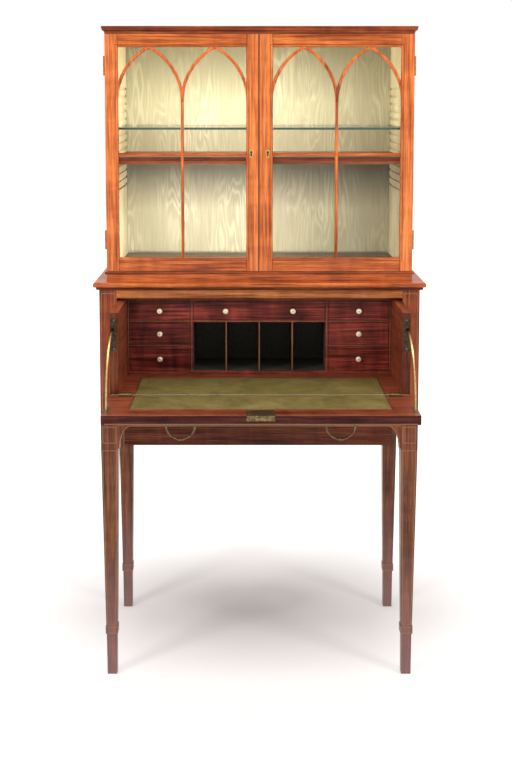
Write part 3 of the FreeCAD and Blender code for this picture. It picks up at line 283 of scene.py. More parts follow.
# %% Aged brass
BRASS_STOPS = (0.30, 0.52, 0.74)
BRASS_TONES = {
    "aged": ((0.10, 0.070, 0.028), (0.20, 0.145, 0.062), (0.33, 0.245, 0.115)),
    "rubbed": ((0.36, 0.23, 0.075), (0.62, 0.43, 0.16), (0.80, 0.60, 0.28)),
    "bail": ((0.046, 0.034, 0.016), (0.115, 0.084, 0.040), (0.26, 0.195, 0.098)),
    "lock": ((0.12, 0.102, 0.050), (0.23, 0.198, 0.102), (0.38, 0.33, 0.180)),
    "hinge": ((0.15, 0.052, 0.016), (0.30, 0.115, 0.038), (0.46, 0.20, 0.075)),
    "dark": ((0.020, 0.014, 0.009), (0.046, 0.032, 0.020), (0.100, 0.070, 0.042)),
}


def aged_brass(name, tones):
    g = Finish(name)
    tarnish = g.noise(g.coords, 160, 5, 0.62, 0.3)
    wear = g.noise(g.coords, 900, 3, 0.6)
    gloss = g.math("MULTIPLY_ADD", wear, 0.22, g.math("MULTIPLY_ADD", tarnish, -0.25, 0.36))
    return g.finish(Base_Color=g.ramp(tarnish, *zip(BRASS_STOPS, tones)), Metallic=1.0,
                    Roughness=gloss, Normal=g.bump(wear, 0.06, 0.0003))


brass = {label: aged_brass("brass_" + label, tones) for label, tones in BRASS_TONES.items()}


# %% Grimy screws
def grimy_screw():
    g = Finish("screw_dark")
    grime = g.noise(g.coords, 1400, 3, 0.6)
    colour = g.ramp(grime, (0.35, (0.05, 0.038, 0.022)), (0.65, (0.30, 0.21, 0.09)))
    return g.finish(Base_Color=colour, Metallic=0.9, Roughness=0.42)


SCREW = grimy_screw()

# %% [markdown]
# ## Bone, paint, a dark floor face and boxwood
#
# The small knobs are turned bone, mellow and flecked along the turning axis. The bookcase is painted
# cream inside with its brush marks left in, and its floor's upper face is dull and dark. The pale lines are
# boxwood. Pictures wrapped on would blur from near by. A slow noise for the colour and a fine one for
# the texture are enough at this size and stay sharp.


# %% Turned bone
def turned_bone():
    g = Finish("bone_turned")
    flecks = g.step(g.noise(g.stretch((1, 0.1, 1)), 1500, 3, 0.6), 0.34, 0.46)
    mellow = g.noise(g.coords, 140, 3, 0.5)
    colour = g.ramp(mellow, (0.3, (0.98, 0.80, 0.52)), (0.7, (1.0, 0.90, 0.66)))
    colour = g.mix(0.3, colour, g.ramp(flecks, (0, (0.55, 0.42, 0.24)), (1, NO_TINT)), "MULTIPLY")
    return g.finish(Base_Color=colour, Roughness=0.26, Coat_Weight=0.3, Subsurface_Weight=0.08)


BONE = turned_bone()


# %% Cream paint
def cream_paint(name, dull, bright):
    g = Finish(name)
    brush = g.noise(g.stretch((1, 0.06, 1)), 260, 3, 0.6)
    age = g.noise(g.coords, 9, 4, 0.6)
    return g.finish(Base_Color=g.ramp(age, (0.3, dull), (0.7, bright)), Roughness=0.62,
                    Normal=g.bump(brush, 0.12, 0.0005))


PAINT = cream_paint("paint_cream", (0.58, 0.50, 0.30), (0.76, 0.70, 0.48))
# The slot paint is painted shade for the grooves in the side linings.
SLOT_SHADE_PAINT = cream_paint("paint_slot_shade", (0.16, 0.12, 0.06), (0.30, 0.24, 0.13))


# %% The dark face of the bookcase floor
def dark_floor_face():
    g = Finish("dark_floor_face")
    fine_bump = g.noise(g.coords, 420, 3, 0.6)
    worn = g.noise(g.coords, 9, 3, 0.55)
    colour = g.ramp(worn, (0.3, (0.135, 0.108, 0.072)), (0.7, (0.190, 0.155, 0.108)))
    return g.finish(Base_Color=colour, Roughness=0.9, Normal=g.bump(fine_bump, 0.2, 0.0004))


DARK_FLOOR_FACE = dark_floor_face()


# %% Boxwood lines
def boxwood():
    g = Finish("inlay_boxwood")
    grain = g.noise(g.coords, 420, 4, 0.6)
    colour = g.ramp(grain, (0.3, (0.21, 0.100, 0.031)), (0.7, (0.33, 0.178, 0.058)))
    return g.finish(Base_Color=colour, Roughness=0.42, Coat_Weight=0.1, Coat_Roughness=0.2)


INLAY = boxwood()

# %% [markdown]
# ## Glass and shadow
#
# The panes are thin glass, a little wavy and smeared, and the shelf is thick plate with a green edge.
# Full refraction would be the physical way, but it is slow and noisy, and through such thin panes
# light passes nearly straight. A low alpha with a clear gloss shows the same: the inside stays bright
# and the surface still catches a reflection. A dark finish of painted shade serves for slots and
# pigeonholes.


# %% Panes, shelf and painted shade
def clear_glass(name, tint, alpha, ripple):
    g = Finish(name)
    waviness = g.noise(g.coords, 7, 2, 0.5)
    smear = g.noise(g.coords, 22, 5, 0.65)
    return g.finish(Base_Color=(*tint, 1), Roughness=g.math("MULTIPLY_ADD", smear, 0.05, 0.015),
                    Alpha=alpha, Specular_IOR_Level=0.9, Normal=g.bump(waviness, ripple, 0.004))


def dark_painted_shade():
    # Painted shade, with a slow speckle in its dark colour.
    g = Finish("shadow_dark")
    shade_speckle = g.noise(g.coords, 300, 3, 0.6)
    colour = g.ramp(shade_speckle, (0.3, (0.022, 0.020, 0.014)), (0.7, (0.062, 0.052, 0.036)))
    return g.finish(Base_Color=colour, Roughness=0.8)


PANE = clear_glass("glass_pane", (0.015, 0.022, 0.019), 0.07, 0.10)
SHELF_GLASS = clear_glass("glass_shelf", (0.05, 0.13, 0.10), 0.16, 0.02)
GLASS_EDGE = clear_glass("glass_shelf_edge", (0.012, 0.085, 0.058), 0.96, 0.02)
SHADOW = dark_painted_shade()


# %% [markdown]
# ## Giving the parts their materials
#
# Boards in one part can run in two directions, as a door's stiles and rails do, and a top can be raw
# where its edge is polished. The parts could be cut up, but they are fixed. Instead each face picks
# one of its part's materials by where its middle lies or where it looks.

# %% Dress a part
SQUARE, LEANING = 0.9, 0.5  # how far a face's normal points along an axis
dressed = set()


def dress(name, *materials, choose=None):
    """Give a part its materials. choose says which of them a face takes, the first by default."""
    mesh = NODES[name].data
    mesh.materials.clear()
    for material in materials:
        mesh.materials.append(material)
    for face in mesh.polygons:
        face.material_index = int(choose(face)) if choose else 0
    dressed.add(name)


# %% [markdown]
# The desk's legs, collars and brackets share one upright grain, which hides the joints between them.
# The desk top has a bright board over a moulding that takes dark wood as painted shade under the
# board's nose. A face's height is enough to tell the two apart.

# %% The desk
TOP_BOARD = 1.0065  # the desk top's board lies above this height, its dark moulding below

for name in ("front_legs", "rear_legs", "leg_collars", "corner_brackets"):
    dress(name, woods["lowerZ"])
dress("front_apron", woods["fallX"])
# The frieze rail's darker wood is painted shade under the desk top's overhang.
dress("frieze_rail", woods["friezeX"])
dress("side_panels", woods["caseY"])
dress("lower_back", woods["darkX"])
dress("drawer_runners", woods["oakY"])
# Faces under the top board take dark wood: painted shade under its nose.
dress("desk_top", woods["darkX"], woods["caseX"], choose=lambda f: f.center.z > TOP_BOARD)
print("dressed", len(dressed), "parts")

# %% [markdown]
# The bookcase is polished outside and cream inside. Its floor's upper face is dark, and the grooves in its
# side linings take a darker paint as painted shade. Masks could be painted for these, but the faces
# already look different ways, so their direction and height are enough.

# %% The bookcase
PLINTH_BEAD = 1.0365  # the plinth's bead moulding lies above this height
FLOOR_BELOW, CEILING_ABOVE = 1.1, 1.5


def board_finish(face):
    """A dark finish on the floor's upper face, paint under the ceiling, wood everywhere else."""
    if face.normal.z > SQUARE and face.center.z < FLOOR_BELOW:
        return 2
    return face.normal.z < -SQUARE and face.center.z > CEILING_ABOVE


dress("cornice", woods["lowerX"], woods["rawX"], choose=lambda f: f.normal.z > SQUARE)
dress("bookcase_sides", woods["caseZ"])
dress("bookcase_boards", woods["caseX"], PAINT, DARK_FLOOR_FACE, choose=board_finish)
dress("bookcase_back", woods["rawZ"])
dress("plinth", woods["caseX"], woods["lowerX"], choose=lambda f: f.center.z > PLINTH_BEAD)
dress("wood_shelf", woods["fallX"])
# Faces inside the grooves take the darker paint: painted shade.
dress("side_linings", PAINT, SLOT_SHADE_PAINT, choose=lambda f: abs(f.normal.z) > LEANING)
dress("silk_lining", PAINT)
dress("glass_shelf", SHELF_GLASS, GLASS_EDGE, choose=lambda f: f.normal.y < -LEANING)
print("dressed", len(dressed), "parts")

# %% [markdown]
# A joiner cuts each stile, rail and bar from a board that runs along it. A door's frame is one mesh, so
# its grain has to turn at the joints: faces between the stiles take a wood that runs across. The cross
# bar of the lattice does the same.

# %% The doors
CROSS_BAR, CROSS_BAR_HALF = 1.334, 5 * MM
DOOR_STILE = 31 * MM

for side, _ in SIDES:
    low, high = node_box(side + "_door_frame")
    dress(side + "_door_frame", woods["stileZ"], woods["caseX"],
          choose=lambda f: low.x + DOOR_STILE < f.center.x < high.x - DOOR_STILE)
    dress(side + "_glazing_bars", woods["stileZ"], woods["caseX"],
          choose=lambda f: abs(f.center.z - CROSS_BAR) < CROSS_BAR_HALF)
    dress(side + "_panes", PANE)
    dress(side + "_door_lock", brass["rubbed"])
    dress(side + "_door_hinges", brass["hinge"])
dress("meeting_bead", woods["stileZ"])
dress("case_hinge_leaves", brass["hinge"])
print("dressed", len(dressed), "parts")

# %% [markdown]
# The writing drawer carries a unit of red mahogany, nearly black inside its pigeonholes. Depth alone
# leaves them too bright under soft lamps, so faces behind the front edge take the dark finish as painted
# shade, and the dividers a near-black wood. The ends of the drawer's sides are darker than its boards.

# %% The writing drawer and its unit
EDGE_DEEP = 2 * MM  # the unit is dark further in than this
CATCH_ABOVE = 0.80  # the catch plates lie above this height, the hinge leaves below
unit_low, unit_high = node_box("pigeonhole_unit")

dress("drawer_box", woods["fallY"], woods["darkZ"], choose=lambda f: f.normal.y < -LEANING)
dress("drawer_floor", woods["fallX"])
dress("drawer_brasses", brass["aged"], brass["dark"], choose=lambda f: f.center.z > CATCH_ABOVE)
# The unit's faces behind its front edge take the dark finish: painted shade.
dress("pigeonhole_unit", woods["unitX"], SHADOW,
      choose=lambda f: f.center.y > unit_low.y + EDGE_DEEP and f.normal.y < SQUARE)
# The dividers inside the pigeonholes take a near-black wood as painted shade.
dress("pigeonhole_dividers", woods["deepY"])
print("dressed", len(dressed), "parts")

# %% [markdown]
# Each small drawer has a mahogany front on an oak box. Both are one part, so faces within the front's
# thickness take the mahogany and all others the oak. The knobs are bone.

# %% The small drawers
FRONT_THICK = 8.1 * MM


def knob_node(drawer):
    return drawer + ("_knobs" if drawer == "centre" else "_knob")


for name in SMALL_DRAWERS:
    front = node_box(name + "_drawer")[0].y
    dress(name + "_drawer", woods["oakY"], woods["unitX"], choose=lambda f: f.center.y < front + FRONT_THICK)
    dress(knob_node(name), BONE)
print("dressed", len(dressed), "parts")

# %% [markdown]
# The open fall shows its writing side and a dark front edge, and its outer face looks down. Each takes
# a wood of its own by where it looks. The stays are bright above their duller plates.

# %% The fall front
STAY_PLATE = 0.7755  # the stays' plates lie below this height

dress("fall_panel", woods["fallX"], woods["deepX"], woods["caseX"],
      choose=lambda f: 1 if f.normal.y < -LEANING else 2 if f.normal.z < -LEANING else 0)
# The lock's front faces take the darker bail brass as painted shade. Its top takes the lock brass.
dress("fall_lock", brass["lock"], brass["bail"], choose=lambda f: f.normal.y < -SQUARE)
dress("quadrant_stays", brass["rubbed"], brass["aged"], choose=lambda f: f.center.z < STAY_PLATE)
for name in ("fall_hinge_leaves", "fall_lock_bolt"):
    dress(name, brass["aged"])
for name in ("bail_posts", "left_bail", "right_bail"):
    dress(name, brass["bail"])
for name in ("writing_leather", "fall_leather"):
    dress(name, woods["fallX"])
print("dressed", len(dressed), "parts of", len(NODES))


# %% [markdown]
# ## Building new pieces
#
# A new piece is a mesh at the origin that rides on a body and takes the finish it is given. Each
# builder below starts from one of bmesh's own shapes or a small section and
# lets an operator do the rest, because operators close their shapes and keep the faces in order.

# %% From a bmesh to a piece
def settle(name, bm, material, body):
    """Turn a bmesh into an object that rides on a body."""
    bmesh.ops.recalc_face_normals(bm, faces=bm.faces)
    mesh = bpy.data.meshes.new(name)
    bm.to_mesh(mesh)
    bm.free()
    mesh.materials.append(material)
    thing = bpy.data.objects.new(name, mesh)
    bpy.context.scene.collection.objects.link(thing)
    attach(thing, body)
    return thing


def piece(name, build, material, body):
    bm = bmesh.new()
    build(bm)
    thing = settle(name, bm, material, body)
    print(name, len(thing.data.polygons), "faces")
    return thing


# %% Boxes and flat strips
SUNK = 0.2 * MM  # how far a strip goes into the wood under it


def add_box(bm, low, high):
    middle = (Vector(low) + Vector(high)) / 2
    size = Vector(high) - Vector(low)
    bmesh.ops.create_cube(bm, size=1, matrix=Matrix.Translation(middle) @ Matrix.Diagonal((*size, 1)))


def add_strip(bm, start, end, outward, width, proud):
    """A thin flat inlay from start to end, standing just proud of the face it lies on."""
    start, end, outward = Vector(start), Vector(end), Vector(outward).normalized()
    along = end - start
    across = outward.cross(along).normalized() * width
    middle = (start + end) / 2 + outward * (proud - SUNK) / 2
    turn = Matrix((along, across, outward * (proud + SUNK))).transposed().to_4x4()
    bmesh.ops.create_cube(bm, size=1, matrix=Matrix.Translation(middle) @ turn)


def add_loop(bm, corners, outward, width, proud):
    for a, b in zip(corners, corners[1:] + corners[:1]):
        add_strip(bm, a, b, outward, width, proud)


def front_corners(x0, x1, y, z0, z1):
    """The four corners of an upright rectangle that faces the front."""
    return [Vector((x, y, z)) for x, z in ((x0, z0), (x1, z0), (x1, z1), (x0, z1))]


def level_corners(x0, x1, y0, y1, z):
    """The four corners of a level rectangle."""
    return [Vector((x, y, z)) for x, y in ((x0, y0), (x1, y0), (x1, y1), (x0, y1))]


# %% Turned shapes
def add_turning(bm, centre, outward, outline, steps):
    """A profile of (radius, height) pairs turned round an axis."""
    outward = Vector(outward).normalized()
    side = outward.orthogonal().normalized()
    verts = [bm.verts.new(Vector(centre) + side * r + outward * h) for r, h in outline]
    edges = [bm.edges.new(pair) for pair in zip(verts, verts[1:])]
    bmesh.ops.spin(bm, geom=verts + edges, cent=centre, axis=outward, angle=2 * math.pi, steps=steps,
                   use_merge=True)
    bmesh.ops.remove_doubles(bm, verts=bm.verts, dist=1e-6)


# %% Half-round beads
BEAD_SUNK = 0.3 * MM
BEAD_STEPS = 5
ARC_STEPS = 32


def half_round(bm, place, across, outward, width, height):
    """The half-disc section of a bead as one face, its flat side a little way into the wood."""
    rim = []
    for k in range(BEAD_STEPS + 1):
        angle = math.pi * k / BEAD_STEPS
        rise = math.sin(angle) * height - BEAD_SUNK
        rim.append(bm.verts.new(place + across * (math.cos(angle) * width / 2) + outward * rise))
    return bm.faces.new(rim)


def add_bead(bm, start, end, outward, width, height):
    """A straight half-round bead: the section drawn out from start to end."""
    start, end, outward = Vector(start), Vector(end), Vector(outward)
    along = end - start
    section = half_round(bm, start, along.normalized().cross(outward), outward, width, height)
    drawn = bmesh.ops.extrude_face_region(bm, geom=[section])["geom"]
    bmesh.ops.translate(bm, vec=along, verts=[v for v in drawn if isinstance(v, bmesh.types.BMVert)])


def add_arc_bead(bm, centre, start, turn, outward, width, height):
    """A bent half-round bead: the section spun round centre from start through the angle turn."""
    start, centre, outward = Vector(start), Vector(centre), Vector(outward)
    section = half_round(bm, start, (start - centre).normalized(), outward, width, height)
    bmesh.ops.spin(bm, geom=[section], cent=centre, axis=outward, angle=turn, steps=ARC_STEPS)


# %% [markdown]
# ## Pale lines on the legs
#
# Thin boxwood lines frame the faces of the legs and ring the collars. They could be drawn in the
# wood's material, but a line there blurs at an edge and has no thickness. Here each is a strip a
# tenth of a millimetre proud. On a tapered leg the lines lean with the faces, so each corner is
# worked out from the leg's width at its own height.

# %% The shape of a leg
LINE, PROUD = 1.15 * MM, 0.12 * MM
LEG_TOP, LEG_BLOCK, COLLAR_TOP, COLLAR_LOW = 0.999, 0.595, 0.128, 0.108
LEG_WIDE, LEG_ANKLE, COLLAR_HALF = 0.043, 0.028, 0.0155
FRONT = node_box("front_legs")[0].y
BACK = node_box("rear_legs")[1].y
LEG_X = node_box("front_legs")[1].x - LEG_WIDE / 2
LEG_CENTRES = [(sign * LEG_X, y) for _, sign in SIDES for y in (FRONT + LEG_WIDE / 2, BACK - LEG_WIDE / 2)]


def leg_half(z):
    """Half of a leg's width at height z."""
    share = min((z - COLLAR_TOP) / (LEG_BLOCK - COLLAR_TOP), 1)
    return (LEG_ANKLE + (LEG_WIDE - LEG_ANKLE) * share) / 2


# %% Lines on the legs and collars
LEG_PANELS = (  # inset from the leg's edges, lower end and upper end of each framed panel
    (3.6 * MM, COLLAR_TOP + 0.003, LEG_BLOCK - 0.006),
    (5.0 * MM, 0.664, LEG_TOP - 0.010),
    (5.0 * MM, LEG_BLOCK + 0.014, 0.650),
)
COLLAR_LINE = 1.6 * MM


def leg_panel(bm, centre, direction, inset, z0, z1):
    """One framed panel on the face of a leg that looks along direction."""
    out = Vector(direction)
    side = Vector((-out.y, out.x, 0))
    corners = []
    for z, sign in ((z0, -1), (z0, 1), (z1, 1), (z1, -1)):
        half = leg_half(z)
        corners.append(Vector((*centre, z)) + out * half + side * sign * (half - inset))
    add_loop(bm, corners, out, LINE, PROUD)


def leg_inlay(bm):
    for x, y in LEG_CENTRES:
        seen = [(math.copysign(1, x), 0, 0)] + ([TO_FRONT] if y < FRONT + LEG_WIDE else [])
        for direction in seen:
            for inset, z0, z1 in LEG_PANELS:
                leg_panel(bm, (x, y), direction, inset, z0, z1)
        for z in (COLLAR_LOW + COLLAR_LINE, COLLAR_TOP - COLLAR_LINE):
            ring = level_corners(x - COLLAR_HALF, x + COLLAR_HALF, y - COLLAR_HALF, y + COLLAR_HALF, z)
            for a, b, out in zip(ring, ring[1:] + ring[:1], (TO_FRONT, (1, 0, 0), TO_BACK, (-1, 0, 0))):
                add_strip(bm, a, b, out, COLLAR_LINE, PROUD)


piece("leg_inlay", leg_inlay, INLAY, "case")

# %% [markdown]
# ## Pale lines on the apron
#
# The apron under the drawer has a framed panel, a line along its lower edge, and a curved line that
# follows each corner bracket's hollow. The curve is a quarter of an ellipse. A curve object could be
# converted to a mesh for it, but a dozen short strips do as well: their joints are too small to see.

# %% Apron lines
APRON_INSET = 7 * MM
EDGE_LINE = 1.2 * MM
BRACKET_DROP, BRACKET_WIDE, BRACKET_TOE, RIM_OUT = 0.057, 0.033, 0.004, 1.0 * MM
RIM_STEPS = 12


def apron_inlay(bm):
    low, high = node_box("front_apron")
    add_loop(bm, front_corners(low.x + APRON_INSET, high.x - APRON_INSET, low.y, low.z + APRON_INSET,
                               high.z - APRON_INSET), TO_FRONT, LINE, PROUD)
    edge = low.z + EDGE_LINE
    add_strip(bm, (low.x + BRACKET_WIDE, low.y, edge), (high.x - BRACKET_WIDE, low.y, edge), TO_FRONT,
              LINE, PROUD)
    wide, tall = BRACKET_WIDE - BRACKET_TOE + RIM_OUT, BRACKET_DROP + RIM_OUT
    for _, sign in SIDES:
        rim = []
        for k in range(RIM_STEPS + 1):
            angle = math.pi / 2 * k / RIM_STEPS
            x = high.x - BRACKET_WIDE + wide * math.sin(angle)
            rim.append((sign * x, low.y, low.z - BRACKET_DROP + tall * math.cos(angle)))
        for a, b in zip(rim, rim[1:]):
            add_strip(bm, a, b, TO_FRONT, LINE, PROUD)


piece("apron_inlay", apron_inlay, INLAY, "case")

# %% [markdown]
# ## Pale lines on the fall
#
# The fall has a line along its front edge, broken by the lock, and a framed panel on the face that
# shows when it is shut. Where the fall meets the drawer floor, a pale line shows between the
# hinges. Lines in the wood's material would have to be masked to one face, so these are strips too.
# All of them ride on the fall and swing with it.

# %% Fall lines
fall_low, fall_high = node_box("fall_panel")
WRITE = fall_high.z
DRAWER_OUT = 0.177
HINGE_Y = FRONT - DRAWER_OUT
FALL_END_INSET, FALL_SIDE_INSET, FALL_HINGE_INSET = 7 * MM, 8 * MM, 10 * MM
LOCK_CLEAR = 0.034
EDGE_UP, EDGE_PROUD = 2.2 * MM, 0.02 * MM


def fall_inlay(bm):
    far = fall_low.y + FALL_END_INSET
    x = fall_high.x - FALL_SIDE_INSET
    for _, sign in SIDES:
        add_strip(bm, (sign * LOCK_CLEAR, far, WRITE), (sign * x, far, WRITE), UP, LINE, PROUD)
    edge = fall_low.z + EDGE_UP
    add_strip(bm, (-x, fall_low.y, edge), (x, fall_low.y, edge), TO_FRONT, LINE, EDGE_PROUD)
    panel = level_corners(-x, x, HINGE_Y - FALL_HINGE_INSET, far, fall_low.z)
    add_loop(bm, panel, DOWN, LINE, PROUD)


piece("fall_inlay", fall_inlay, INLAY, "fall_front")

# %% The pale joint line
HINGE_X, HINGE_HALF = 0.318, 17.2 * MM
JOINT_BACK, JOINT_WIDE, JOINT_SHORT = 0.9 * MM, 1.5 * MM, 2 * MM


def joint_line(bm):
    y = HINGE_Y - JOINT_BACK
    inner, outer, end = HINGE_X - HINGE_HALF, HINGE_X + HINGE_HALF, fall_high.x - JOINT_SHORT
    for x0, x1 in ((-end, -outer), (-inner, inner), (outer, end)):
        add_strip(bm, (x0, y, WRITE), (x1, y, WRITE), UP, JOINT_WIDE, PROUD)


piece("fall_joint_line", joint_line, BONE, "fall_front")

# %% [markdown]
# ## Beads on the glazing bars
#
# The bars of the frame are flat laths. Real ones carry a rounded astragal. A curve with a bevel
# would give one too, but its ends would stay open. Here a half-disc is drawn out along each straight
# bar and spun round the middle of each arch, which makes closed beads with the right curve.

# %% Astragals
BEAD_WIDE, ARC_BEAD_WIDE, BEAD_TALL = 6.4 * MM, 5.2 * MM, 2.4 * MM
ARCH_RADIUS = 0.150
ARCH_START = 4 * MM  # the outer arcs begin this far behind the door's frame
FRAME_LAP = 1.2 * MM


def add_arches(bm, low, high, light, spring):
    """The four arcs of a door: two pointed arches that stand on the height spring."""
    end = math.acos((ARCH_RADIUS - light / 2) / ARCH_RADIUS)
    for left in (low.x - ARCH_START, (low.x + high.x) / 2):
        for foot, sign in ((left, -1), (left + light, 1)):
            centre = foot - sign * ARCH_RADIUS
            hidden = max(low.x + FRAME_LAP - foot, foot - high.x + FRAME_LAP, 0)
            first = math.acos(1 - hidden / ARCH_RADIUS)
            start = (centre + sign * ARCH_RADIUS * math.cos(first), low.y,
                     spring + ARCH_RADIUS * math.sin(first))
            add_arc_bead(bm, (centre, low.y, spring), start, sign * (end - first), TO_FRONT,
                         ARC_BEAD_WIDE, BEAD_TALL)


def door_astragals(side):
    low, high = node_box(side + "_glazing_bars")
    light = (high.x - low.x) / 2 + ARCH_START
    spring = high.z - math.sqrt(ARCH_RADIUS ** 2 - (ARCH_RADIUS - light / 2) ** 2)
    middle = (low.x + high.x) / 2

    def build(bm):
        add_bead(bm, (low.x, low.y, CROSS_BAR), (high.x, low.y, CROSS_BAR), TO_FRONT, BEAD_WIDE, BEAD_TALL)
        add_bead(bm, (middle, low.y, low.z), (middle, low.y, spring), TO_FRONT, BEAD_WIDE, BEAD_TALL)
        add_arches(bm, low, high, light, spring)
    return piece(side + "_astragals", build, woods["stileZ"], side + "_door")


# %% [markdown]
# The rounded sides are shaded smooth, and the flat backs and ends stay flat, so that the light on a
# long bar doesn't bend towards its ends. The cross bar takes the wood whose grain runs across.

# %% Smooth the beads and turn the cross bar's grain
CROSS_BEAD_HALF = 4 * MM

for side, _ in SIDES:
    beads = door_astragals(side).data
    beads.materials.append(woods["caseX"])
    for face in beads.polygons:
        face.use_smooth = len(face.vertices) == 4 and face.normal.y < SQUARE
        face.material_index = int(abs(face.center.z - CROSS_BAR) < CROSS_BEAD_HALF)

# %% [markdown]
# ## Edges of the shelf and the doors
#
# The wooden shelf's front is paler along its lower half. Each door has a fine dark
# line let into its frame. Between the doors a dark strip of painted shade marks the joint, and a strip on
# the left door's edge keeps light from passing. Bevelled curves could make them, but nothing of them is
# rounded, so thin boxes and strips will do.

# %% The shelf's pale front strip
LIP_MIDDLE, LIP_WIDE, LIP_SHORT = 4 * MM, 7.6 * MM, 1 * MM


# A paler strip along the lower half of the shelf's front.
def shelf_front_strip(bm):
    low, high = node_box("wood_shelf")
    z = low.z + LIP_MIDDLE
    add_strip(bm, (low.x + LIP_SHORT, low.y, z), (high.x - LIP_SHORT, low.y, z), TO_FRONT, LIP_WIDE, PROUD)


piece("shelf_front_strip", shelf_front_strip, woods["caseX"], "case")

# %% Lines on the doors
DOOR_LINE_INSET, DOOR_LINE_WIDE, DOOR_LINE_PROUD = 26 * MM, 1.0 * MM, 0.1 * MM


def door_line(side):
    low, high = node_box(side + "_door_frame")
    inset = DOOR_LINE_INSET
    corners = front_corners(low.x + inset, high.x - inset, low.y, low.z + inset, high.z - inset)

    def build(bm):
        add_loop(bm, corners, TO_FRONT, DOOR_LINE_WIDE, DOOR_LINE_PROUD)
    return piece(side + "_door_line", build, woods["darkZ"], side + "_door")


for side, _ in SIDES:
    door_line(side)

# %% The joint between the doors
JOINT_END = 0.5 * MM
door_low, door_high = node_box("left_door_frame")


def joint_box(x0, x1, y0, y1):
    """A builder for an upright box on the left door, with x0 and x1 measured from its closing edge."""
    def build(bm):
        add_box(bm, (door_high.x + x0, y0, door_low.z + JOINT_END),
                (door_high.x + x1, y1, door_high.z - JOINT_END))
    return build


# The quirk is a dark box of painted shade in the joint between the doors.
quirk = joint_box(-3.0 * MM, -0.6 * MM, door_low.y - 0.08 * MM, door_low.y + 1 * MM)
strip = joint_box(-0.2 * MM, 0.4 * MM, door_low.y + 3 * MM, door_high.y - 1 * MM)
piece("left_door_quirk", quirk, SHADOW, "left_door")
piece("left_door_strip", strip, woods["darkZ"], "left_door")

# %% [markdown]
# The keyholes of the door locks look black against their bright rings. A black face on the lock itself
# would need the part to be cut up, so a small dark box of painted shade stands a little way behind each
# hole. It also gives the hole its depth.

# %% Painted shade behind the keyholes
KEYHOLE_X, KEYHOLE_Z = 0.0204, 1.336
KEYHOLE_HALF = Vector((3.6 * MM, 0, 7.2 * MM))
KEYHOLE_NEAR, KEYHOLE_FAR = 3.2 * MM, 4.0 * MM


# A dark box behind each keyhole: painted shade.
def keyhole_shadow(side, sign):
    front = node_box(side + "_door_lock")[0].y
    near = Vector((sign * KEYHOLE_X, front + KEYHOLE_NEAR, KEYHOLE_Z))
    far = Vector((sign * KEYHOLE_X, front + KEYHOLE_FAR, KEYHOLE_Z))

    def build(bm):
        add_box(bm, near - KEYHOLE_HALF, far + KEYHOLE_HALF)
    return piece(side + "_keyhole_shadow", build, SHADOW, side + "_door")


for side, sign in SIDES:
    keyhole_shadow(side, sign)

# %% [markdown]
# ## Screws
#
# The leaves, the plates and the fall's lock are held by slotted screws, each left at its own turn.
# One screw copied about would give them all the same turn, so each is made afresh: a low dome spun
# from a short outline, with a dark strip across it at a random angle, painted shade for the slot. The heads
# lie almost flush, so that the fall can shut over them.

# %% A slotted screw
HEAD = ((0, 0.11 * MM), (0.6, 0.10 * MM), (0.95, 0.05 * MM), (1, -0.4 * MM))  # share of radius, height
HEAD_STEPS = 16
SLOT_LIFT, SLOT_PROUD, SLOT_REACH, SLOT_WIDE = 0.09 * MM, 0.04 * MM, 0.82, 0.30


def add_screw(heads, slots, centre, outward, radius):
    centre, outward = Vector(centre), Vector(outward)
    add_turning(heads, centre, outward, [(radius * share, height) for share, height in HEAD], HEAD_STEPS)
    turn = Matrix.Rotation(random.uniform(0, math.pi), 3, outward)
    along = turn @ outward.orthogonal().normalized() * radius * SLOT_REACH
    middle = centre + outward * SLOT_LIFT
    add_strip(slots, middle - along, middle + along, outward, radius * SLOT_WIDE, SLOT_PROUD)


def screw_set(name, body, places):
    heads, slots = bmesh.new(), bmesh.new()
    for centre, outward, radius in places:
        add_screw(heads, slots, centre, outward, radius)
    settle(name + "_heads", heads, SCREW, body)
    # The slot strips take the dark finish as painted shade.
    settle(name + "_slots", slots, SHADOW, body)
    print(name, len(places))


# %% Screws of the fall and the drawer
LEAF_SCREW, PLATE_SCREW, LOCK_SCREW = 2.2 * MM, 2.0 * MM, 2.4 * MM
STAY_X, STAY_Y = 0.3475, HINGE_Y - 0.150
CATCH_X, CATCH_Y, CATCH_Z = 0.3445, HINGE_Y + 0.3 * MM, WRITE + 0.144
LOCK_SCREW_X = 0.024
LEAF_HOLES = ((-11, 15), (0, 19), (11, 15))  # millimetres along the hinge and away from it
STAY_HOLES, CATCH_HOLES, LOCK_HOLES = (-27, 27), (-34, 34), (12, 42)  # millimetres along each plate

fall_screws, drawer_screws = [], []
for _, sign in SIDES:
    for dx, dy in LEAF_HOLES:
        x = sign * HINGE_X + dx * MM
        fall_screws.append(((x, HINGE_Y - dy * MM, WRITE), UP, LEAF_SCREW))
        drawer_screws.append(((x, HINGE_Y + dy * MM, WRITE), UP, LEAF_SCREW))
    for dy in STAY_HOLES:
        fall_screws.append(((sign * STAY_X, STAY_Y + dy * MM, WRITE), UP, PLATE_SCREW))
    for dz in CATCH_HOLES:
        drawer_screws.append(((sign * CATCH_X, CATCH_Y, CATCH_Z + dz * MM), TO_FRONT, PLATE_SCREW))
for _, sign in SIDES:
    for dy in LOCK_HOLES:
        fall_screws.append(((sign * LOCK_SCREW_X, fall_low.y + dy * MM, WRITE), UP, LOCK_SCREW))
screw_set("fall_screws", "fall_front", fall_screws)
screw_set("drawer_screws", "secretaire_drawer", drawer_screws)

# %% Screws of the door hinges
DOOR_HINGE_X, DOOR_INSIDE = 0.375, FRONT + 0.033
DOOR_HINGE_HEIGHTS = (1.120, 1.552)
DOOR_HOLES = (-17, 0, 17)  # millimetres along a leaf
DOOR_SCREW = 1.5 * MM

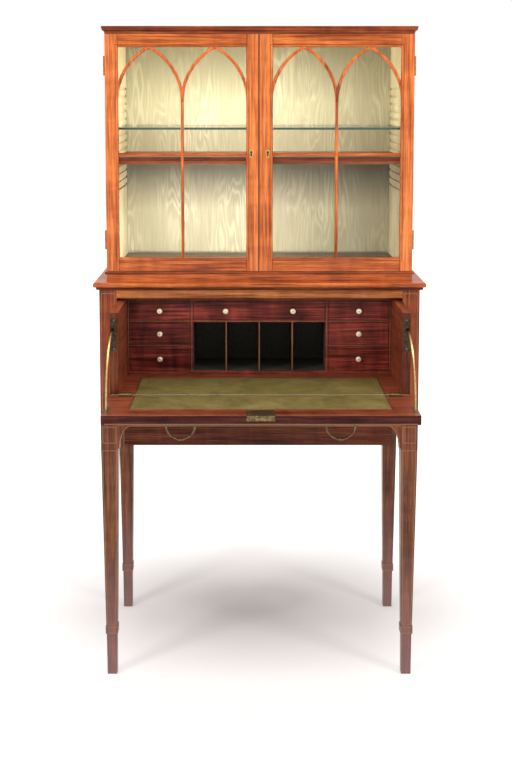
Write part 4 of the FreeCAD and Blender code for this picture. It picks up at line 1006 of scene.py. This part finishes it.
for side, sign in SIDES:
    places = [((sign * DOOR_HINGE_X, DOOR_INSIDE, z + dz * MM), TO_BACK, DOOR_SCREW)
              for z in DOOR_HINGE_HEIGHTS for dz in DOOR_HOLES]
    screw_set(side + "_hinge_screws", side + "_door", places)

# %% [markdown]
# ## Lock and knobs
#
# Dark lines round the lock and across it show where its plates meet. Each bone knob has a small
# wooden plug at its centre. A ready-made sphere would bulge too far, so the plugs are turned like the
# screw heads, from three points of outline.

# %% Lines on the lock
LOCK_HALF, LOCK_NEAR, LOCK_FAR, LOCK_SEAM = 28.5 * MM, 4 * MM, 46.5 * MM, 14.5 * MM
LOCK_LINE, SEAM_LINE, LOCK_LINE_PROUD = 0.5 * MM, 0.6 * MM, 0.05 * MM


def lock_lines(bm):
    x, front = LOCK_HALF, fall_low.y
    outline = level_corners(-x, x, front + LOCK_NEAR, front + LOCK_FAR, WRITE)
    add_loop(bm, outline, UP, LOCK_LINE, LOCK_LINE_PROUD)
    y = front + LOCK_SEAM
    add_strip(bm, (-x, y, WRITE), (x, y, WRITE), UP, SEAM_LINE, LOCK_LINE_PROUD)


piece("lock_lines", lock_lines, SHADOW, "fall_front")

# %% Plugs in the knobs
PLUG = ((0, 0.45 * MM), (1.2 * MM, 0.4 * MM), (1.7 * MM, -0.3 * MM))
PLUG_STEPS = 14
KNOB_HALF = 7 * MM


def knob_plugs(drawer):
    low, high = node_box(knob_node(drawer))
    middle = (low + high) / 2
    centres = (low.x + KNOB_HALF, high.x - KNOB_HALF) if drawer == "centre" else (middle.x,)

    def build(bm):
        for x in centres:
            add_turning(bm, Vector((x, low.y, middle.z)), TO_FRONT, PLUG, PLUG_STEPS)
    return piece(knob_node(drawer) + "_dots", build, woods["caseX"], drawer + "_box")


for name in SMALL_DRAWERS:
    knob_plugs(name)

# %% [markdown]
# ## Small drawers and pigeonholes
#
# Each small drawer front is edged with a cock bead, a fine rounded moulding that saves the veneer
# from chipping. The thin partitions show a paler front edge. A bevel on the drawer fronts would
# change parts that are fixed, so the beads reuse the half-round section of the glazing bars at a
# smaller size, and the pale edges are strips.

# %% Cock beads
COCK_INSET, COCK_WIDE, COCK_TALL = 0.9 * MM, 1.6 * MM, 0.7 * MM


def cock_bead(drawer):
    low, high = node_box(drawer + "_drawer")
    corners = front_corners(low.x + COCK_INSET, high.x - COCK_INSET, low.y, low.z + COCK_INSET,
                            high.z - COCK_INSET)

    def build(bm):
        for a, b in zip(corners, corners[1:] + corners[:1]):
            add_bead(bm, a, b, TO_FRONT, COCK_WIDE, COCK_TALL)
    return piece(drawer + "_drawer_cock_bead", build, woods["darkX"], drawer + "_box")


for name in SMALL_DRAWERS:
    cock_bead(name)

# %% Pale partition edges
EDGE_RISE = 0.15 * MM
UNIT_RAILS = (0.847, 0.910)
DIVIDER_PITCH = 0.335 / 4
UPRIGHT_X, RAIL_START, RAIL_END, TOP_RAIL_END = 0.171, 0.176, 0.328, 0.166
UPRIGHT_FOOT, UPRIGHT_HEAD = 8 * MM, 6 * MM
DIVIDER_EDGE, UPRIGHT_EDGE, RAIL_EDGE, TOP_RAIL_EDGE = 2.6 * MM, 1.6 * MM, 1.3 * MM, 1.8 * MM
RIM_SIDE, RIM_FOOT, RIM_HEAD = 2.5 * MM, 4 * MM, 3 * MM


def partition_edges(bm):
    y = unit_low.y

    def edge(x0, z0, x1, z1, width):
        add_strip(bm, (x0, y, z0), (x1, y, z1), TO_FRONT, width, EDGE_RISE)

    low, high = node_box("pigeonhole_dividers")
    for k in (-1, 0, 1):
        edge(k * DIVIDER_PITCH, low.z, k * DIVIDER_PITCH, high.z, DIVIDER_EDGE)
    for _, sign in SIDES:
        x = sign * UPRIGHT_X
        edge(x, unit_low.z + UPRIGHT_FOOT, x, unit_high.z - UPRIGHT_HEAD, UPRIGHT_EDGE)
        for z in UNIT_RAILS:
            edge(sign * RAIL_START, z, sign * RAIL_END, z, RAIL_EDGE)
    edge(-TOP_RAIL_END, UNIT_RAILS[1], TOP_RAIL_END, UNIT_RAILS[1], TOP_RAIL_EDGE)
    x = unit_high.x - RIM_SIDE
    outline = front_corners(-x, x, y, unit_low.z + RIM_FOOT, unit_high.z - RIM_HEAD)
    add_loop(bm, outline, TO_FRONT, RAIL_EDGE, EDGE_RISE)


piece("partition_edges", partition_edges, woods["rawZ"], "secretaire_drawer")

# %% [markdown]
# ## A laid sheet
#
# The leathers and the silk are thin sheets glued or stretched over boards, never quite even. A cloth
# simulation would be the way for anything that hangs, but these hardly move. So a grid is extruded
# into a closed sheet, and its upper points rise in a slow wave that dies out towards the edges.

# %% A grid, extruded and gently moved
EDGE_SOFT = 2.5 * MM
EDGE_SHARE = 0.35  # of the thickness, left at the very edge


def unevenness(a, b):
    """A slow wave between -1 and 1 whose numbers are odd enough that no repeat shows."""
    return math.sin(a * 61 + 1.7 * math.sin(b * 37)) * math.sin(b * 53 + 2.1 * math.sin(a * 29))


def laid_sheet(low, high, outward, cells, bumps):
    """A bmesh sheet over the face of a box that looks along outward, with its width and length."""
    outward = Vector(outward)
    flat = 1 if outward.z else 2
    width, length = high.x - low.x, high[flat] - low[flat]
    thick = abs((high - low).dot(outward))
    base = (low + high) / 2 - outward * thick / 2
    turn = Matrix.Identity(4) if outward.z else Matrix.Rotation(math.pi / 2, 4, "X")
    bm = bmesh.new()
    bmesh.ops.create_grid(bm, x_segments=cells[0], y_segments=cells[1], size=0.5,
                          matrix=Matrix.Translation(base) @ turn @ Matrix.Diagonal((width, length, 1, 1)))
    upper = bmesh.ops.extrude_face_region(bm, geom=bm.faces[:])["geom"]
    for vert in (v for v in upper if isinstance(v, bmesh.types.BMVert)):
        a, b = vert.co.x, vert.co[flat]
        edge = min(a - low.x, high.x - a, b - low[flat], high[flat] - b)
        soft = 1 - math.exp(-max(edge, 0) / EDGE_SOFT)
        rise = thick * (EDGE_SHARE + (1 - EDGE_SHARE) * soft)
        vert.co += outward * (rise + bumps * unevenness(a, b) * soft)
    return bm, width, length


# %% [markdown]
# ## Tooled leather
#
# Two olive skins lie in shallow recesses of the drawer floor and the fall. Gilt lines and a row of
# dots were pressed into each with hot tools, at fixed distances from its edges. Modelling the tooling
# would take thousands of faces, so the material measures how far a point is from the nearest edge
# and puts the gilt there. The gilt is rubbed away in places, as on the real one.

# %% Gilt at fixed distances from the edge
GILT_LINES = ((6.0 * MM, 1.0 * MM), (9.0 * MM, 0.6 * MM), (17.2 * MM, 0.8 * MM))  # distance, width
DOTS_AT, DOTS_WIDE, DOTS_PITCH, DOTS_HALF = 13.0 * MM, 3.6 * MM, 6.2 * MM, 0.22


def edge_distance(g, low, high):
    """How far a point is from the nearest edge of the skin, and its place along both edges."""
    centre, half = (low + high) / 2, (high - low) / 2
    x, y = g.axes()[:2]
    dx = g.math("SUBTRACT", half.x, g.math("ABSOLUTE", g.math("SUBTRACT", x, centre.x)))
    dy = g.math("SUBTRACT", half.y, g.math("ABSOLUTE", g.math("SUBTRACT", y, centre.y)))
    return g.math("MINIMUM", dx, dy), g.math("ADD", x, y)


def gilding(g, edge, run):
    """One where gilt lies, nought elsewhere."""
    def near(value, middle, half):
        return g.math("LESS_THAN", g.math("ABSOLUTE", g.math("SUBTRACT", value, middle)), half)

    dots = near(g.math("FRACT", g.math("DIVIDE", run, DOTS_PITCH)), 0.5, DOTS_HALF)
    gilt = g.math("MULTIPLY", near(edge, DOTS_AT, DOTS_WIDE / 2), dots)
    for distance, width in GILT_LINES:
        gilt = g.math("MAXIMUM", gilt, near(edge, distance, width / 2))
    rubbed = g.step(g.noise(g.coords, 130, 4, 0.65), 0.34, 0.52)
    return g.math("MULTIPLY", gilt, rubbed)


# %% The skin and its wear
SKIN = ((0.36, (0.092, 0.073, 0.018)), (0.54, (0.168, 0.131, 0.035)), (0.74, (0.25, 0.195, 0.070)))
SCUFFED_SKIN, DARK_BORDER, GILT = (0.33, 0.26, 0.12), (0.06, 0.045, 0.012), (0.58, 0.41, 0.13)
BORDER_WIDE = 4.5 * MM


def tooled_leather(name, low, high):
    g = Finish(name)
    edge, run = edge_distance(g, low, high)
    gilt = gilding(g, edge, run)
    pebble = g.cells(g.coords, 900)
    mottle = g.noise(g.coords, 11, 5, 0.62, 0.5)
    worn = g.noise(g.coords, 46, 5, 0.65)
    skin = g.ramp(g.math("MULTIPLY_ADD", mottle, 0.7, g.math("MULTIPLY", worn, 0.35)), *SKIN)
    scuffs = g.step(g.noise(g.stretch((1, 9, 1)), 34, 5, 0.7), 0.60, 0.72)
    skin = g.mix(g.math("MULTIPLY", scuffs, 0.35), skin, SCUFFED_SKIN)
    border = g.math("LESS_THAN", edge, BORDER_WIDE)
    skin = g.mix(g.math("MULTIPLY", border, 0.5), skin, DARK_BORDER)
    gloss = g.math("MULTIPLY_ADD", gilt, -0.16, g.math("MULTIPLY_ADD", worn, 0.2, 0.36))
    relief = g.math("SUBTRACT", g.math("MULTIPLY", pebble, 0.6), gilt)
    return g.finish(Base_Color=g.mix(gilt, skin, GILT), Roughness=gloss,
                    Metallic=g.math("MULTIPLY", gilt, 0.8), Normal=g.bump(relief, 0.22, 0.0004))


# %% Lay the leathers
LEATHERS = (("writing_leather", "secretaire_drawer", "drawer_floor"),
            ("fall_leather", "fall_front", "fall_panel"))
LEATHER_CELLS, LEATHER_BUMPS = (96, 40), 0.10 * MM


def smooth(thing):
    for face in thing.data.polygons:
        face.use_smooth = True


for name, body, under in LEATHERS:
    low, high = node_box(name)
    bm, width, length = laid_sheet(low, high, UP, LEATHER_CELLS, LEATHER_BUMPS)
    skin = settle(name + "_skin", bm, tooled_leather(name + "_tooled", low, high), body)
    smooth(skin)
    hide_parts(name)
    print(name, round(width, 3), round(length, 3))


# %% [markdown]
# ## Watered silk
#
# One width of cream silk is stretched over the bookcase's back. Such silk is watered by rollers that
# press its ribs into each other, which leaves long pale rings. A picture of them would repeat. They
# look like the contour lines of a slow field, so a sine of a stretched noise draws them, and a second
# noise says where they show. Under the shelf and at the top the silk's colour is darkened as painted shade.

# %% Rings, ribs and painted shade
RING_COUNT, RING_SHARP = 66.0, 2.2
SILK = ((0.18, (0.36, 0.335, 0.225)), (0.42, (0.46, 0.430, 0.290)), (0.80, (0.60, 0.57, 0.41)))
SHELF_UNDERSIDE = 1.318
UNDER_SHELF, UNDER_CEILING = (1.165, 1.28), (1.46, 1.60)  # heights where each shade starts and is full
SHELF_SHADE, TOP_SHADE = (0.24, 0.23, 0.22), (0.52, 0.51, 0.46)


def water_marks(g):
    field = g.noise(g.stretch((1, 1, 0.17)), 27, 1.4, 0.5, 0.25)
    rings = g.math("SINE", g.math("MULTIPLY", field, RING_COUNT))
    pale = g.math("POWER", g.math("MULTIPLY_ADD", rings, 0.5, 0.5), RING_SHARP)
    where = g.step(g.noise(g.stretch((1, 1, 0.3)), 9, 2, 0.5), 0.38, 0.62)
    fine = g.noise(g.stretch((1, 1, 0.03)), 300, 3, 0.6, 0.2)
    return g.math("MULTIPLY_ADD", g.math("MULTIPLY", pale, where), 0.42, g.math("MULTIPLY", fine, 0.58))


def watered_silk():
    g = Finish("silk_watered")
    marks = water_marks(g)
    ribs = g.ribs(g.coords, 420, 0.4, 1.0)
    colour = g.ramp(marks, *SILK)
    height = g.axes()[2]
    # Painted shade: the colour darkens below the shelf and towards the top.
    below = g.math("LESS_THAN", height, SHELF_UNDERSIDE)
    shaded = g.math("MULTIPLY", g.step(height, *UNDER_SHELF), below)
    colour = g.mix(shaded, colour, SHELF_SHADE, "MULTIPLY")
    colour = g.mix(g.step(height, *UNDER_CEILING), colour, TOP_SHADE, "MULTIPLY")
    return g.finish(Base_Color=colour, Roughness=g.math("MULTIPLY_ADD", marks, -0.25, 0.62),
                    Sheen_Weight=0.3, Sheen_Roughness=0.35,
                    Normal=g.bump(g.math("MULTIPLY_ADD", ribs, 0.4, marks), 0.12, 0.0006))


# %% Stretch the silk
SILK_CELLS, SILK_BUMPS = (110, 90), 0.25 * MM

low, high = node_box("silk_lining")
bm, width, length = laid_sheet(low, high, TO_FRONT, SILK_CELLS, SILK_BUMPS)
silk = settle("silk_cloth", bm, watered_silk(), "case")
smooth(silk)
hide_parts("silk_lining")
print("silk", round(width, 3), round(length, 3))


# %% [markdown]
# ## The floor and the room
#
# A catalogue picture stands on white, with a soft shadow under the object. More light would make the
# floor white and spoil the wood, so the floor is pale paper, and only rays that a person sees find it
# lifted to white away from the shadow. Metal and glass see the same, so those rays count too. Those rays
# also see the paper darker, and the lift grows only with distance from a point behind the desk, so the
# shadow there is partly the lamps' own and partly painted shadow.

# %% Rays that a person sees
def seen_rays(tree):
    """One for rays that a person sees, in a mirror or through glass too, and nought for lighting."""
    path = tree.nodes.new("ShaderNodeLightPath")
    seen = path.outputs["Is Camera Ray"]
    for kind in ("Is Glossy Ray", "Is Transmission Ray"):
        either = tree.nodes.new("ShaderNodeMath")
        either.operation = "MAXIMUM"
        tree.links.new(seen, either.inputs[0])
        tree.links.new(path.outputs[kind], either.inputs[1])
        seen = either.outputs[0]
    return seen


# %% The floor
FLOOR_HALF, FLOOR_DROP = 14, 0.4 * MM
SHADOW_TINT = (0.71, 0.67, 0.655)
SHADOW_MIDDLE, SHADOW_ACROSS, SHADOW_DEEP = 0.445, 0.82, 1.12
NEAR_LIFT, FAR_LIFT = (0.10, 0.60, 0.55), (0.90, 1.80, 0.45)  # distances where it starts and ends, amount


def stage_floor():
    """Pale paper that keeps the lamps' shadow under the object, adds painted shadow round a point behind it,
    and is plain white further off.
    """
    g = Finish("floor_white")
    speck = g.noise(g.coords, 3, 3, 0.5)
    paper = g.ramp(speck, (0.3, (0.90, 0.895, 0.89)), (0.7, (0.92, 0.915, 0.91)))
    seen = seen_rays(g.tree)
    # Painted shadow: the lift to white grows with distance from a point behind the desk.
    x, y = g.axes()[:2]
    x = g.math("MULTIPLY", x, SHADOW_ACROSS)
    y = g.math("MULTIPLY", g.math("SUBTRACT", y, SHADOW_MIDDLE), SHADOW_DEEP)
    away = g.math("SQRT", g.math("ADD", g.math("MULTIPLY", x, x), g.math("MULTIPLY", y, y)))
    lift = 0.0
    for start, end, amount in (NEAR_LIFT, FAR_LIFT):
        lift = g.math("MULTIPLY_ADD", g.step(away, start, end), amount, lift)
    # Seen rays get paper darkened by the shadow tint: painted shadow, lifted to white further off.
    return g.finish(Base_Color=g.mix(seen, paper, SHADOW_TINT, "MULTIPLY"), Roughness=0.9,
                    Specular_IOR_Level=0.1, Emission_Color=(1, 1, 1, 1),
                    Emission_Strength=g.math("MULTIPLY", lift, seen))


bm = bmesh.new()
bmesh.ops.create_grid(bm, x_segments=1, y_segments=1, size=FLOOR_HALF,
                      matrix=Matrix.Translation((0, 0, -FLOOR_DROP)))
mesh = bpy.data.meshes.new("floor")
bm.to_mesh(mesh)
bm.free()
mesh.materials.append(stage_floor())
floor = bpy.data.objects.new("floor", mesh)
bpy.context.scene.collection.objects.link(floor)
print("floor", 2 * FLOOR_HALF, "m wide")

# %% The room
ROOM_LIGHT, ROOM_SEEN = 0.62, 1.0

world = bpy.data.worlds.new("white_room")
bpy.context.scene.world = world
world.use_nodes = True
tree = world.node_tree
background = tree.nodes["Background"]
background.inputs["Color"].default_value = (1.0, 1.0, 1.0, 1)
strength = tree.nodes.new("ShaderNodeMapRange")
strength.inputs["To Min"].default_value = ROOM_LIGHT
strength.inputs["To Max"].default_value = ROOM_SEEN
tree.links.new(seen_rays(tree), strength.inputs["Value"])
tree.links.new(strength.outputs[0], background.inputs["Strength"])
print("room", ROOM_LIGHT, "for lighting,", ROOM_SEEN, "to the eye")

# %% [markdown]
# ## Lights
#
# Two large soft lamps stand in front at the sides, a weak one low in front, and one overhead. A sun
# would cast hard shadows, and area lamps cast the soft ones of a studio. The low lamp is kept out of
# reflections, because its shape would show in the polish. Two long narrow lamps inside the bookcase
# light the silk. They face the back, away from the camera.


# %% Lamps
def area_light(name, place, target, size, power, colour=(1, 1, 1)):
    data = bpy.data.lights.new(name, "AREA")
    data.shape = "RECTANGLE"
    data.size, data.size_y = size
    data.energy = power
    data.color = colour
    lamp = bpy.data.objects.new(name, data)
    lamp.location = place
    lamp.rotation_mode = "QUATERNION"
    lamp.rotation_quaternion = (Vector(target) - Vector(place)).to_track_quat("-Z", "Y")
    bpy.context.scene.collection.objects.link(lamp)
    return lamp


area_light("key_left", (-2.6, -2.6, 2.5), (0, 0, 0.9), (0.9, 1.2), 58, (1.0, 0.97, 0.93))
area_light("key_right", (2.8, -2.4, 2.3), (0, 0, 0.9), (0.9, 1.2), 47, (1.0, 0.98, 0.95))
area_light("front_fill", (0.0, -3.6, 0.35), (0, 0, 0.72), (2.4, 0.6), 24).visible_glossy = False
area_light("top_soft", (0.0, 0.0, 3.6), (0, 0, 0), (1.6, 1.6), 44)
area_light("upper_glow", (-0.06, 0.012, 1.412), (-0.06, 0.33, 1.46), (0.46, 0.02), 3.0, (1.0, 0.96, 0.80))
area_light("lower_glow", (-0.10, 0.012, 1.150), (-0.10, 0.33, 1.02), (0.40, 0.02), 2.5, (1.0, 0.97, 0.86))
print("lamps", len(bpy.data.lights))

# %% [markdown]
# ## Camera
#
# The camera stands at the height of the bookcase's doors and looks slightly down. Tilt alone would
# make the uprights lean, and lens shift alone would push other views out of the frame, so each does a
# part.

# %% Camera
CAMERA_X, CAMERA_AWAY, CAMERA_Z = -0.030, 3.126, 1.477
CAMERA_TILT = 5.72

camera = bpy.data.cameras.new("camera")
camera.sensor_width = 36
camera.lens = 58.5
camera.shift_x = 0.011
camera.shift_y = -0.214
camera_object = bpy.data.objects.new("camera", camera)
camera_object.location = (CAMERA_X, FRONT - CAMERA_AWAY, CAMERA_Z)
camera_object.rotation_mode = "XYZ"
camera_object.rotation_euler = (math.radians(90 - CAMERA_TILT), 0, 0)
bpy.context.scene.collection.objects.link(camera_object)
bpy.context.scene.camera = camera_object
bpy.context.scene.view_settings.view_transform = "Standard"
print("camera", [round(v, 3) for v in camera_object.location])
